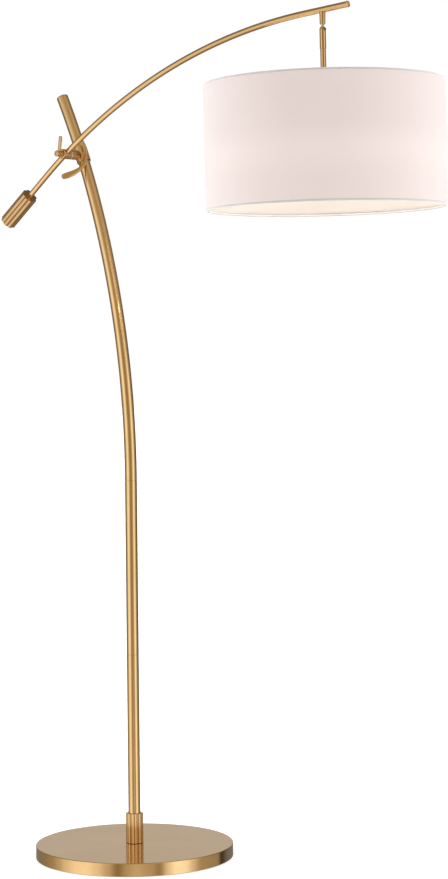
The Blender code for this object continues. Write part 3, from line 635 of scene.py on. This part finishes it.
# ---- the stand
def build_base():
    """The pressed cover with its rim, the pad below it, and the bushing in its back edge."""
    low, high = BASE_LOW, BASE_TOP
    sheet = 0.0015
    bore = 0.0052
    outline = [
        (bore, high), (BASE_R, high, 0.0016), (BASE_R, low, 0.0004), (BASE_R - sheet, low),
        (BASE_R - sheet, high - sheet), (bore, high - sheet),
    ]
    cover = turned("stand", "base_cover", outline, BRASS_TOP, sides=256, closed=True)
    cover.data.materials.append(BRASS)
    steepest_top = 0.6
    for face in cover.data.polygons:
        if abs(face.normal.z) < steepest_top and face.center.z < high:
            face.material_index = 1
    pad_top = top_of("base_pad")
    pad_r = 0.5 * size_of("base_pad").x
    outline = [(0, 0), (pad_r, 0, 0.0008), (pad_r, pad_top, 0.0003), (0, pad_top)]
    turned("stand", "base_pad", outline, FOAM, sides=128)
    middle = 0.5 * (top_of("cord_bushing") + foot_of("cord_bushing"))
    place = frame_at(Vector((0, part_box("cord_bushing")[1][1], middle)), -Y_AXIS, X_AXIS)
    outline = [
        (0.003, 0.0006), (0.0036, 0), (0.0066, 0, 0.0008), (0.0066, 0.0026, 0.0004),
        (0.0048, 0.0028), (0.0048, 0.01), (0.003, 0.01),
    ]
    turned("stand", "cord_bushing", outline, PHENOLIC, place, sides=40, closed=True)


def build_sleeve():
    """The eight-lobed sleeve at the pole's foot, open at the top round the pole."""
    per_lobe = 14
    rings = lobed_rings(SLEEVE_R, 0.0064, per_lobe, SLEEVE_LOW, SLEEVE_TOP, 0.0009)
    bore = POLE_R + GAP
    count = LOBES * per_lobe
    start = -pi / LOBES
    rings += [circle(bore, SLEEVE_TOP, count, start), circle(bore, SLEEVE_LOW, count, start)]
    sleeve = skin_rings("fine_base_sleeve", rings, BRASS, closed=True, around=TURN * SLEEVE_R)
    put(sleeve, "stand", "base_sleeve")


def build_pole():
    """Three lengths of tube that meet in hairline joints, and the rounded top cap."""
    gap = 0.0001
    foot = foot_of("pole_lower")
    middle = top_of("pole_lower") + 0.00015
    bend = POLE_CENTRE.z
    for node, low, high in (("pole_lower", foot, middle - gap), ("pole_middle", middle, bend - gap)):
        spots = [Vector((0, 0, low + (high - low) * i / 8)) for i in range(9)]
        put(round_bar("fine_" + node, spots, [Z_AXIS] * 9, POLE_R, 64), "stand", node)
    steps = 72
    angles = [POLE_TOP_ANGLE * i / steps for i in range(steps + 1)]
    upper = round_bar(
        "fine_pole_upper", [pole_point(angle) for angle in angles],
        [pole_direction(angle) for angle in angles], POLE_R, 64,
    )
    put(upper, "stand", "pole_upper")
    outline = [
        (0.0109, -0.01), (0.0109, 0.0002), (POLE_R, 0.0002, 0.0002), (POLE_R, 0.0026, 0.0022),
        (0.5 * POLE_R, 0.0032), (0, 0.0033),
    ]
    place = frame_at(pole_point(POLE_TOP_ANGLE), pole_direction(POLE_TOP_ANGLE))
    turned("stand", "pole_cap", outline, BRASS_TURNED, place, sides=64)


# ---- the collar and clamp
def build_collar():
    """The collar with its side barrel and its lever's boss, and the nylon liner inside it."""
    place = frame_at(COLLAR, COLLAR_UP)
    half = 0.5 * COLLAR_H
    inner = 0.014
    edge = 0.0011
    outline = [
        (inner, -half), (COLLAR_R - 0.0002, -half, 0.0003), (COLLAR_R, -half + edge, 0.0008),
        (COLLAR_R, half - edge, 0.0008), (COLLAR_R - 0.0002, half, 0.0003), (inner, half),
    ]
    collar = lathe("fine_collar", outline, BRASS_TURNED, place, sides=96, closed=True)
    root = 0.0144
    with_rod(collar, "UNION", COLLAR + root * OUTWARD, (BARREL_END - root) * OUTWARD, BARREL_R, 80)
    with_rod(collar, "UNION", LEVER_HUB + GAP * LEVER_OUT, 0.0037 * LEVER_OUT, 0.0058, 48)
    ease_edges(collar)
    put(collar, "collar", "collar")
    high = half - 0.001
    bore = POLE_R + 0.0005
    outline = [(bore, -high), (0.0137, -high), (0.0137, high), (bore, high)]
    turned("liner", "collar_liner", outline, NYLON, place, sides=64, closed=True)


def smooth_path(points, steps):
    """Catmull-Rom points through the given ones, with the parameter of each."""
    result = []
    for i in range(len(points) - 1):
        before = points[max(i - 1, 0)]
        here, there = points[i], points[i + 1]
        after = points[min(i + 2, len(points) - 1)]
        for k in range(steps):
            t = k / steps
            spot = 0.5 * (
                2 * here + (there - before) * t
                + (2 * before - 5 * here + 4 * there - after) * t * t
                + (3 * here - before - 3 * there + after) * t * t * t
            )
            result.append((spot, i + t))
    result.append((points[-1], len(points) - 1.0))
    return result


def blade(name, points, widths, thicknesses, matrix):
    """A brass lever through points in the local XY plane, squarish, its ends rounded in that plane."""
    sides = 28
    square = 3.2
    path = smooth_path([Vector((x, y, 0)) for x, y in points], 8)
    spots = [spot for spot, _ in path]
    lengths = path_lengths(spots)
    total = lengths[-1]
    rings = []
    for index, (spot, place) in enumerate(path):
        i = min(int(place), len(points) - 2)
        t = place - i
        half_width = 0.5 * (widths[i] + (widths[i + 1] - widths[i]) * t)
        half_thick = 0.5 * (thicknesses[i] + (thicknesses[i + 1] - thicknesses[i]) * t)
        near_end = min(lengths[index], total - lengths[index])
        reach = 0.8 * half_width
        if near_end < reach:
            fall = sqrt(max(1 - (1 - near_end / reach) ** 2, 0.0))
            half_width *= 0.3 + 0.7 * fall
            half_thick *= 0.55 + 0.45 * fall
        ahead = spots[min(index + 1, len(spots) - 1)] - spots[max(index - 1, 0)]
        across = Vector((-ahead.y, ahead.x, 0)).normalized()
        ring = []
        for k in range(sides):
            angle = TURN * k / sides
            c, s = cos(angle), sin(angle)
            u = copysign(abs(c) ** (2 / square), c)
            v = copysign(abs(s) ** (2 / square), s)
            ring.append(spot + half_width * u * across + half_thick * v * Z_AXIS)
        rings.append(ring)
    return skin_rings(name, rings, BRASS, matrix, sharp=60)


# the crescent lever's middle line, and its width and depth at each point
CRESCENT = (
    (-0.0022, 0.0318), (-0.0002, 0.027), (0.0026, 0.018), (0.0042, 0.006), (0.0042, -0.007),
    (0.0016, -0.02), (-0.0068, -0.031), (-0.019, -0.04), (-0.033, -0.0468), (-0.044, -0.0505),
    (-0.048, -0.0515),
)
CRESCENT_WIDTHS = (0.0046, 0.0062, 0.0076, 0.0082, 0.0082, 0.0078, 0.0078, 0.0108, 0.0134, 0.0118, 0.008)
CRESCENT_DEPTHS = (0.004, 0.005, 0.0058, 0.006, 0.006, 0.0058, 0.0056, 0.0054, 0.0052, 0.0048, 0.0044)


def build_collar_lever():
    """The crescent that opens the collar's clamp, and the round hub that it turns on."""
    hub = frame_at(LEVER_HUB, LEVER_OUT, Z_AXIS)
    low = 0.0046
    place = hub @ Matrix.Translation((0, 0, low + 0.0044))
    lever = blade("fine_collar_lever", CRESCENT, CRESCENT_WIDTHS, CRESCENT_DEPTHS, place)
    outline = [(0, low), (0.0052, low, 0.0005), (0.0052, low + 0.0058, 0.001), (0, low + 0.0062)]
    boss = lathe("fine_lever_hub", outline, BRASS_TURNED, hub, 48)
    put(lever, "collar_lever", "collar_lever")
    put(boss, "collar_lever")


def build_clamp_head():
    """The head that turns on the barrel's end, with the hole that the boom passes through."""
    outwards = frame_at(COLLAR, OUTWARD, COLLAR_UP)
    outline = [
        (0.0048, BARREL_END + GAP), (BARREL_R - 0.0006, BARREL_END + GAP),
        (BARREL_R - 0.0006, BARREL_END + 0.0011), (0.0048, BARREL_END + 0.0011),
    ]
    turned("clamp_head", "friction_washer", outline, NYLON, outwards, sides=56, closed=True)
    low = BARREL_END + 0.0014
    outline = [(0, low), (BARREL_R, low, 0.0009), (BARREL_R, HEAD_END, 0.0013), (0, HEAD_END)]
    head = lathe("fine_clamp_head", outline, BRASS_TURNED, outwards, 80)
    direction = Y_AXIS.cross(CLAMP - BOOM_CENTRE).normalized()
    with_rod(head, "DIFFERENCE", CLAMP - 0.02 * direction, 0.04 * direction, BOOM_R + 0.0004)
    ease_edges(head)
    put(head, "clamp_head", "clamp_head")


def build_boom_knob():
    """The knob that clamps the boom, and its upright lever."""
    outwards = frame_at(COLLAR, OUTWARD, COLLAR_UP)
    low = HEAD_END + GAP
    outline = [
        (0, low), (KNOB_R, low, 0.0006), (KNOB_R, KNOB_END - 0.001, 0.001),
        (KNOB_R - 0.0012, KNOB_END - 0.0002, 0.0004), (0, KNOB_END),
    ]
    turned("boom_knob", "boom_knob", outline, BRASS_TURNED, outwards, sides=64)
    lean = radians(9)
    upwards = Vector((sin(lean), 0, cos(lean)))
    lever_frame = frame_at(COLLAR + (low + 0.0072) * OUTWARD, OUTWARD, upwards)
    lever = blade(
        "fine_boom_lever", [(0, 0.0), (0, 0.007), (0, 0.016), (0, 0.026), (0, 0.033), (0, 0.0372)],
        [0.0066, 0.0068, 0.007, 0.0075, 0.0078, 0.0074],
        [0.0056, 0.0056, 0.0054, 0.0052, 0.005, 0.0046], lever_frame,
    )
    put(lever, "boom_knob")


# ---- the boom
def build_boom():
    """The curved tube with its straight rear and tip, and the cap on the tip."""
    rod_end = WEIGHT_START + WEIGHT_LENGTH - 0.007
    straight = 6
    steps = 110
    centres = [BOOM_REAR - rod_end * (1 - i / straight) * REAR_DIRECTION for i in range(straight)]
    directions = [REAR_DIRECTION] * straight
    for i in range(steps + 1):
        angle = BOOM_ANGLE_REAR + (BOOM_ANGLE_TIP - BOOM_ANGLE_REAR) * i / steps
        centres.append(boom_point(angle))
        directions.append(boom_direction(angle))
    for i in range(1, straight + 1):
        centres.append(TIP_START + BOOM_TIP_LENGTH * i / straight * TIP_DIRECTION)
        directions.append(TIP_DIRECTION)
    put(round_bar("fine_boom_arm", centres, directions, BOOM_R, 48), "boom", "boom_arm")
    outline = [
        (0.003, -0.008), (BOOM_R - 0.0013, -0.008), (BOOM_R - 0.0013, 0.0002),
        (BOOM_R + 0.0004, 0.0002, 0.0002), (BOOM_R + 0.0004, 0.0022, 0.0012),
        (0.003, 0.0034, 0.0006), (0.0022, 0.0026, 0.0004), (0, 0.0026),
    ]
    turned("boom", "boom_tip_cap", outline, BRASS_TURNED, frame_at(TIP_END, TIP_DIRECTION), sides=48)


def build_counterweight():
    """The eight-lobed weight on the boom's low end, and the screw that holds it."""
    per_lobe = 16
    low, high = WEIGHT_START, WEIGHT_START + WEIGHT_LENGTH
    rings = lobed_rings(WEIGHT_R, 0.0063, per_lobe, low, high, 0.0005, WEIGHT_TURN)
    count = LOBES * per_lobe
    start = WEIGHT_TURN - pi / LOBES
    bore = BOOM_R + GAP
    rings += [
        circle(radius, z, count, start)
        for radius, z in (
            (0.0066, high), (0.0062, high - 0.0004), (0.0062, high - 0.003), (0.0024, high - 0.003),
            (0.0024, high - 0.0065), (bore, high - 0.0067), (bore, low + 0.0004), (bore + 0.0004, low),
        )
    ]
    place = frame_at(BOOM_REAR, -REAR_DIRECTION)
    weight = skin_rings("fine_counterweight", rings, SHADED_BRASS, place, True, TURN * WEIGHT_R)
    put(weight, "boom", "counterweight")
    outline = [
        (0, high - 0.012), (0.002, high - 0.012), (0.002, high - 0.0027), (0.0056, high - 0.0027),
        (0.0056, high - 0.0004, 0.0008), (0.0022, high, 0.0002), (0.0018, high - 0.0014),
        (0, high - 0.0014),
    ]
    turned("boom", "counterweight_screw", outline, STEEL, place, sides=40)


# ---- the hanger
def build_hanger():
    """The stub below the boom's tip that holds the ball, saddled to the tube."""
    place = frame_at(BALL, Z_AXIS)
    drop = STEM_TOP_Z - BALL.z
    outline = [
        (0.0043, -0.0004), (0.005, -0.0004, 0.0003), (0.0055, 0.0006, 0.0005), (0.006, drop - 0.001),
        (0.0026, drop - 0.001), (0.0026, 0.0042), (0.0036, 0.0034), (0.0043, 0.0016),
    ]
    stub = lathe("fine_hanger_stub", outline, SHADED_BRASS, place, sides=64, closed=True)
    top = Vector((BALL.x, BALL.y, STEM_TOP_Z))
    with_rod(stub, "DIFFERENCE", top - 0.02 * TIP_DIRECTION, 0.04 * TIP_DIRECTION, BOOM_R + 0.0002)
    put(stub, "boom", "hanger_stub")


def build_ball():
    """The ball and its stud, grooved where the swivel screw holds it."""
    outline = arc(0, 0, 0.004, radians(82), radians(-52), 16)
    neck = outline[-1][0]
    outline += [
        (neck, -0.0068), (0.003, -0.0072), (0.003, -0.0092), (0.0022, -0.0096),
        (0.0022, -0.0116), (0.003, -0.012), (0.003, -0.02),
    ]
    turned("ball", "ball_stud", outline, BRASS_TURNED, frame_at(BALL, STEM_UP), sides=48)


def build_stem():
    """The housing that hangs from the ball, its screw, and the straight tube to the shade."""
    top, low = BALL.z - 0.0055, HOUSING_LOW
    radius = 0.0062
    outline = [
        (0.0033, top), (0.0041, top, 0.0004), (radius, top - 0.003, 0.0026),
        (radius, low + 0.0004, 0.0003), (radius - 0.0004, low), (0.0038, low),
        (0.0038, BALL.z - 0.021), (0.0033, BALL.z - 0.0206),
    ]
    turned("shade", "swivel_housing", outline, SHADED_BRASS, AXIS, sides=64, closed=True)
    screw_way = AXIS.to_3x3() @ polar(1.0, SCREW_SIDE, 0)
    groove = AXIS @ Vector((0, 0, BALL.z - 0.0106))
    outline = [
        (0, 0.0026), (0.0013, 0.003), (0.0013, radius - 0.0008), (0.0026, radius - 0.001),
        (0.0026, radius + 0.0009, 0.0003), (0.0007, radius + 0.0009), (0.0006, radius), (0, radius),
    ]
    turned("shade", "swivel_screw", outline, PHENOLIC, frame_at(groove, screw_way, STEM_UP), sides=28)
    low, high = SPIDER_Z + 0.0022, HOUSING_LOW - GAP
    outline = [(0.0038, low), (0.0056, low, 0.0003), (0.0056, high, 0.0003), (0.0038, high)]
    turned("shade", "stem_tube", outline, SHADED_BRASS, AXIS, sides=64, closed=True)


# ---- the shade
def shade_levels(low, high):
    return [low + (high - low) * i / SHADE_LEVELS for i in range(SHADE_LEVELS + 1)]


def drum(name, outer, inner, low, high, material):
    """A thin upright cylinder wall with many levels, metres on its surface."""
    zs = shade_levels(low, high)
    along = zs + zs[::-1]
    walls = [(outer, z) for z in zs] + [(inner, z) for z in zs[::-1]]
    rings = [circle(radius, z, SHADE_SIDES, SEAM_ANGLE) for radius, z in walls]
    return skin_rings(name, rings, material, AXIS, True, TURN * outer, along)


def hem_outline(edge, inward, inner):
    """The rolled edge: a low swelling outside, a soft bead, and a short turn-in behind."""
    bead = 0.001
    turn_in = 0.0058
    skin = SHADE_R - 0.0004
    middle = 0.5 * (SHADE_R + inner) + 0.0002
    half = 0.5 * (SHADE_R - inner) + 0.0003
    steps = 10
    outline = [(skin, turn_in), (SHADE_R + 0.00005, 0.0036), (SHADE_R + 0.0003, 0.0022)]
    for i in range(steps + 1):
        angle = pi * i / steps
        outline.append((middle + half * cos(angle), bead * (1 - sin(angle))))
    outline += [(inner, turn_in), (inner + 0.0003, turn_in), (inner + 0.0004, 0.0016), (skin, 0.0016)]
    return [(radius, edge + inward * depth) for radius, depth in outline]


def build_seam():
    """The overlap where the cloth's two ends meet, a low strip between the hems at the back."""
    hem_end = 0.0062
    half = 0.5 * 0.009 / SHADE_R
    steps = 10
    section = []
    for k in range(steps + 1):
        t = 2 * k / steps - 1
        section.append((SHADE_R + 0.0006 * (1 - t ** 6) + 0.0001, SEAM_ANGLE + half * t))
    section += [(SHADE_R + 0.00005, angle) for _, angle in section[::-1]]
    width = len(section)
    built = bmesh.new()
    layer = built.loops.layers.uv.new(SURFACE)
    levels = shade_levels(SHADE_LOW + hem_end, SHADE_TOP - hem_end)
    grid = [[built.verts.new(polar(radius, angle, z)) for radius, angle in section] for z in levels]
    for low, high in zip(grid, grid[1:]):
        for i in range(width):
            j = (i + 1) % width
            face = built.faces.new((low[i], low[j], high[j], high[i]))
            for loop in face.loops:
                spot = loop.vert.co
                loop[layer].uv = (SHADE_R * atan2(spot.y, spot.x) + 0.00017, spot.z)
    built.faces.new(grid[0])
    built.faces.new(grid[-1])
    return put(finish_mesh("fine_shade_seam", built, LINEN, AXIS, 70), "shade")


def build_shade():
    """The drum: its linen, the liner that holds it, the two rolled edges and the seam."""
    lip = 0.0008
    low, high = SHADE_LOW + lip, SHADE_TOP - lip
    fabric = drum("fine_shade_fabric", SHADE_R, SHADE_R - 0.0005, low, high, LINEN)
    put(fabric, "shade", "shade_fabric")
    put(drum("fine_shade_liner", LINER_R, LINER_IN, low, high, LINER), "shade", "shade_liner")
    hems = []
    for end, edge, inward in (("top", SHADE_TOP, -1), ("bottom", SHADE_LOW, 1)):
        outline = hem_outline(edge, inward, LINER_IN - 0.0004)
        hem = lathe("fine_shade_hem_" + end, outline, SHADED_HEM, AXIS, SHADE_SIDES, closed=True, sharp=70)
        hems.append(put(hem, "shade", "shade_trim_" + end))
    hems + [build_seam()]


def wire(name, points, radius):
    """A bent wire of the spider through points, as a smooth swept tube."""
    sides = 16
    path = [spot for spot, _ in smooth_path(points, 6)]
    rings = []
    for i, spot in enumerate(path):
        way = (path[min(i + 1, len(path) - 1)] - path[max(i - 1, 0)]).normalized()
        side = way.cross(Z_AXIS).normalized()
        lift = side.cross(way)
        rings.append([
            spot + radius * (cos(TURN * k / sides) * side + sin(TURN * k / sides) * lift)
            for k in range(sides)
        ])
    return skin_rings(name, rings, WIRE_PAINT, AXIS, False, TURN * radius, path_lengths(path), 60)


def torus(name, ring_r, z, radius):
    """A round wire ring inside the shade."""
    outline = arc(ring_r, z, radius, 0.0, TURN, 14)[:-1]
    return lathe(name, outline, WIRE_PAINT, AXIS, 160, True, 70)


def build_frame_wires():
    """The spider and the two rings that hold the drum round."""
    radius = 0.0015
    ring_r = LINER_IN - GAP - radius
    put(torus("fine_bottom_ring", ring_r, SHADE_LOW + 0.003, radius), "shade", "shade_bottom_ring")
    top_z = SHADE_TOP - 0.003
    hub_r = 0.015
    outline = [
        (0.0041, SPIDER_Z), (hub_r, SPIDER_Z, 0.0004), (hub_r, SPIDER_Z + 0.0018, 0.0004),
        (0.0041, SPIDER_Z + 0.0018),
    ]
    put(lathe("fine_spider_hub", outline, WIRE_PAINT, AXIS, 64, True), "shade", "shade_spider")
    put(torus("fine_spider_ring", ring_r, top_z, radius), "shade")
    arm_z = SPIDER_Z + 0.0009
    for i in range(3):
        out = polar(1.0, radians(30 + 120 * i), 0)
        points = [
            out * reach + Z_AXIS * z
            for reach, z in (
                (hub_r - 0.004, arm_z), (0.03, arm_z), (0.09, arm_z + 0.0012), (0.15, arm_z + 0.003),
                (0.18, arm_z + 0.0062), (ring_r - 0.022, top_z - 0.008),
                (ring_r - 0.006, top_z - 0.0022), (ring_r, top_z),
            )
        ]
        put(wire(f"fine_spider_arm_{i + 1}", points, 0.0016), "shade")


def build_nut():
    """The hexagon nut below the spider, its corners turned off."""
    high = SPIDER_Z - GAP
    low = high - 0.003
    edge = 0.0003
    count = 48
    rings = []
    for z, inset in ((low, edge), (low + edge, 0), (high - edge, 0), (high, edge)):
        ring = []
        for i in range(count):
            angle = TURN * i / count
            flat = (0.0065 - inset) / cos((angle % (TURN / 6)) - TURN / 12)
            ring.append(polar(min(flat, 0.0073 - inset), angle, z))
        rings.append(ring)
    rings += [circle(0.0038, high, count), circle(0.0038, low, count)]
    put(skin_rings("fine_spider_nut", rings, STEEL, AXIS, True), "shade", "spider_nut")


def build_socket():
    """The lamp holder: its cap, its shell and the insulator inside them."""
    wall = 0.0008
    r, top, split, low = SOCKET_R, SOCKET_TOP, SOCKET_SPLIT, SOCKET_LOW
    outline = [
        (0.0038, top), (0.007, top, 0.0012), (0.0125, top - 0.006, 0.003), (r, top - 0.013, 0.003),
        (r, split + 0.0022, 0.0003), (r + 0.0005, split + 0.0016, 0.0003), (r + 0.0005, split + 0.0003),
        (r - wall, split + 0.0003), (r - wall, top - 0.0127, 0.002), (0.012, top - 0.0068, 0.002),
        (0.0067, top - wall), (0.0038, top - wall),
    ]
    turned("shade", "socket_cap", outline, BRASS_TURNED, AXIS, closed=True)
    outline = [
        (r - wall, low), (r, low, 0.0003), (r, low + 0.003, 0.0003), (r + 0.0006, low + 0.0036, 0.0004),
        (r, low + 0.0044, 0.0003), (r, split, 0.0003), (r - wall, split),
    ]
    turned("shade", "socket_shell", outline, BRASS_TURNED, AXIS, closed=True)
    body_r = r - wall - GAP
    outline = [
        (body_r, low + 0.001), (body_r, split + 0.004), (0.0006, split + 0.004),
        (0.0006, split - 0.006), (0.0138, split - 0.006), (0.0138, low + 0.001),
    ]
    turned("shade", "socket_body", outline, PHENOLIC, AXIS, sides=56, closed=True)


def build_switch():
    """The turn knob on the holder's side: a stem and a ribbed disc."""
    place = joint_place("switch_turn")
    along = frame_at(place, joint_axis("switch_turn"), STEM_UP)
    near, reach = 0.0157, 0.0309
    outline = [(0, near), (0.0022, near), (0.0022, 0.0218), (0, 0.0218)]
    stem = lathe("fine_switch_stem", outline, PHENOLIC, along, 32)
    ribs, per_rib = 18, 4
    rib_depth = 0.0003
    knob_r = 0.0056
    count = ribs * per_rib
    rings = []
    for z, inset in ((0.0216, 0.0004), (0.0222, 0.0), (reach - 0.0014, 0.0), (reach - 0.0004, 0.001)):
        ring = []
        for i in range(count):
            radius = knob_r - inset - (rib_depth if i % per_rib < 2 else 0)
            ring.append(polar(radius, TURN * i / count, z))
        rings.append(ring)
    rings += [circle(0.003, reach - 0.0001, count), circle(0.0002, reach, count)]
    knob = skin_rings("fine_switch_knob", rings, PHENOLIC, along, around=TURN * knob_r, sharp=30)
    put(knob, "switch", "switch_knob")
    put(stem, "switch")


def build_bulb():
    """The bulb's screw cap, with round threads, and its glass: a neck that widens into a ball."""
    cap_top = SOCKET_TOP - 0.027
    low = SOCKET_LOW + 0.006
    high = cap_top - 0.006
    per_thread = 8
    steps = 5 * per_thread
    threads = [
        (0.01285 + 0.00025 * cos(TURN * i / per_thread), high + (low - high) * i / steps)
        for i in range(steps + 1)
    ]
    turned(
        "shade", "bulb_cap",
        [(0.004, cap_top), (0.0126, cap_top - 0.004)] + threads
        + [(0.011, low), (0.011, high), (0.004, cap_top - 0.004)],
        STEEL, AXIS, sides=56, closed=True, sharp=60,
    )
    neck = [
        (0.0133, SOCKET_LOW + 0.0056), (0.0136, SOCKET_LOW), (0.0141, SOCKET_LOW - 0.005),
        (0.0158, SOCKET_LOW - 0.011), (0.019, SOCKET_LOW - 0.0165),
    ]
    wall = 0.0008
    smallest = 0.0003
    centre = BULB_LOW + BULB_R
    first, last, count = radians(34), radians(-89.7), 26
    outer = neck + arc(0, centre, BULB_R, first, last, count)
    inner = [(radius - wall, z) for radius, z in neck] + arc(0, centre, BULB_R - wall, first, last, count)
    inner = [(max(radius, smallest), z) for radius, z in inner[::-1]]
    turned("shade", "bulb_glass", outer + inner, GLASS, AXIS, closed=True, sharp=60)


# ---- the hidden CAD hardware
def dress_cad_nodes():
    """The pieces that stay as CAD solids, inside the lamp, take the last finish made for their slot."""
    for part in frame["record"]["subparts"]:
        materials = frame["nodes"][part["node"]].data.materials
        materials.clear()
        materials.append(SLOTS[part["material_slot"]][-1])


# ---- the studio round it
COOL = (1.0, 1.06, 1.16)
WARM = (1.0, 0.82, 0.5)
# each ring of light: degrees round from the camera's side, how bright polished metal finds it, its warmth
LOW_LIGHT = (
    (-180, 0.24, 0.4), (-150, 0.26, 0.4), (-128, 0.34, 0.7), (-112, 0.46, 0.8), (-99, 0.68, 0.6),
    (-88, 0.98, 0.3), (-72, 1.28, 0.2), (-56, 1.34, 0.2), (-44, 1.12, 0.3), (-32, 0.74, 0.5),
    (-20, 0.3, 1.0), (-9, 0.62, 0.6), (1, 0.76, 0.4), (18, 0.62, 0.6), (29, 0.36, 0.9),
    (39, 1.1, 0.2), (49, 1.52, 0.0), (61, 1.46, 0.0), (71, 0.94, 0.2), (82, 0.52, 0.7),
    (104, 0.44, 0.6), (112, 0.44, 0.6), (120, 0.04, 0.6), (138, 0.2, 0.0), (180, 0.24, 0.4),
)
RING_LIGHT = (
    (-180, 0.24, 0.4), (-152, 0.2, 0.4), (-128, 0.2, 0.8), (-110, 0.32, 0.6), (-96, 0.54, 0.4),
    (-81, 1.06, 0.0), (-62, 1.4, 0.0), (-48, 1.26, 0.0), (-38, 0.94, 0.3), (-28, 0.68, 0.7),
    (-18, 0.42, 1.0), (0, 0.41, 1.0), (14, 0.45, 1.0), (24, 0.62, 0.8), (32, 0.84, 0.4),
    (41, 1.24, 0.0), (51, 1.46, 0.0), (61, 1.26, 0.0), (72, 0.9, 0.2), (84, 0.46, 0.5),
    (97, 0.32, 0.7), (112, 0.22, 0.8), (130, 0.1, 0.8), (152, 0.18, 0.4), (180, 0.24, 0.4),
)
HIGH_LIGHT = (
    (-180, 0.3, 0.4), (-128, 0.24, 0.6), (-98, 0.26, 0.9), (-78, 0.44, 0.5), (-56, 0.76, 0.2),
    (-30, 0.64, 0.6), (0, 0.5, 1.0), (35, 0.62, 0.7), (61, 0.62, 0.4), (89, 0.4, 0.5),
    (116, 0.2, 0.6), (150, 0.26, 0.5), (180, 0.3, 0.4),
)
BACK_STRIP = (0.65, 0.64, 0.65)
OVERHEAD = (0.4, 0.37, 0.31)
UNDERFOOT = (0.62, 0.57, 0.46)
SOFT_LIGHT = 1.24
SIDE_SHARE = 0.9
SIDE_TURN = radians(11)
BACKGROUND = 1.02


def light_ring(kit, factor, stops):
    """A colour ramp right round the horizon."""
    ramp = kit.add("ValToRGB")
    kit.put(ramp, "0", factor)
    bar = ramp.color_ramp
    bar.interpolation = "EASE"
    bar.elements[0].position = 0.0
    bar.elements[1].position = 1.0
    for _ in range(len(stops) - 2):
        bar.elements.new(0.5)
    for element, (degrees, level, warmth) in zip(bar.elements, stops):
        element.position = (degrees + 180) / 360
        element.color = colour(*[level * (c + (w - c) * warmth) for c, w in zip(COOL, WARM)])
    return ramp.outputs[0]


def build_world():
    """Tall soft boxes either side of the camera over a bright floor, and a pale backdrop."""
    world = bpy.data.worlds.new("studio")
    bpy.context.scene.world = world
    world.use_nodes = True
    kit = Nodes(world.node_tree)
    light = world.node_tree.nodes["Background"]
    parts = kit.split(kit.add("TexCoord").outputs["Generated"])
    azimuth = kit.math("ARCTAN2", parts[1], parts[0])
    camera_azimuth = atan2(CAMERA_PLACE.y, CAMERA_PLACE.x)
    facing = kit.math("WRAP", kit.math("SUBTRACT", azimuth, camera_azimuth), pi, -pi)
    around = kit.range(facing, -pi, pi)
    low = kit.fade(parts[2], -0.1, -0.19)
    high = kit.fade(parts[2], 0.14, 0.42)
    top = kit.fade(parts[2], 0.75, 0.95)
    under = kit.fade(parts[2], -0.9, -0.99)
    ring = kit.mix(low, light_ring(kit, around, RING_LIGHT), light_ring(kit, around, LOW_LIGHT))
    ring = kit.mix(high, ring, light_ring(kit, around, HIGH_LIGHT))
    behind = kit.range(kit.math("ABSOLUTE", facing), radians(128), radians(148))
    strip = kit.math("MULTIPLY", kit.fade(parts[2], 0.12, 0.165), kit.fade(parts[2], 0.34, 0.28))
    ring = kit.mix(kit.math("MULTIPLY", behind, strip), ring, colour(*BACK_STRIP))
    mirrored = kit.mix(under, kit.mix(top, ring, colour(*OVERHEAD)), colour(*UNDERFOOT))
    sides = kit.math("COSINE", kit.math("MULTIPLY", kit.math("ADD", facing, SIDE_TURN), 2.0))
    soft = kit.range(sides, -1.0, 1.0, SOFT_LIGHT * (1 + SIDE_SHARE), SOFT_LIGHT * (1 - SIDE_SHARE))
    ray = kit.add("LightPath").outputs
    lit = kit.mix(ray["Is Glossy Ray"], soft, mirrored)
    backdrop = colour(BACKGROUND, BACKGROUND, BACKGROUND)
    kit.put(light, "Color", kit.mix(ray["Is Camera Ray"], lit, backdrop))
    light.inputs["Strength"].default_value = 1.0


def build_floor():
    """A wide pale floor that glows a little, as a lit cove does."""
    material, kit, shader = new_material("pale_floor")
    patch = kit.noise(1.2)
    kit.put(shader, "Base Color", kit.mix(patch, colour(0.8, 0.8, 0.8), colour(0.79, 0.79, 0.79)))
    shader.inputs["Roughness"].default_value = 0.9
    shader.inputs["Specular IOR Level"].default_value = 0.0
    shader.inputs["Emission Color"].default_value = colour(1.0, 1.0, 1.0)
    shader.inputs["Emission Strength"].default_value = 0.4
    low, high, reach = -0.0202, -0.0002, 60.0
    floor = lathe("studio_floor", [(0, low), (reach, low), (reach, high), (0, high)], material, sides=128)
    floor.visible_glossy = False


# ---- build
for build in (
    make_camera, build_base, build_sleeve, build_pole, build_collar, build_collar_lever, build_clamp_head,
    build_boom_knob, build_boom, build_counterweight, build_hanger, build_ball, build_stem, build_shade,
    build_frame_wires, build_nut, build_socket, build_switch, build_bulb, dress_cad_nodes, build_world,
    build_floor,
):
    build()
bpy.context.scene.view_settings.view_transform = "Standard"
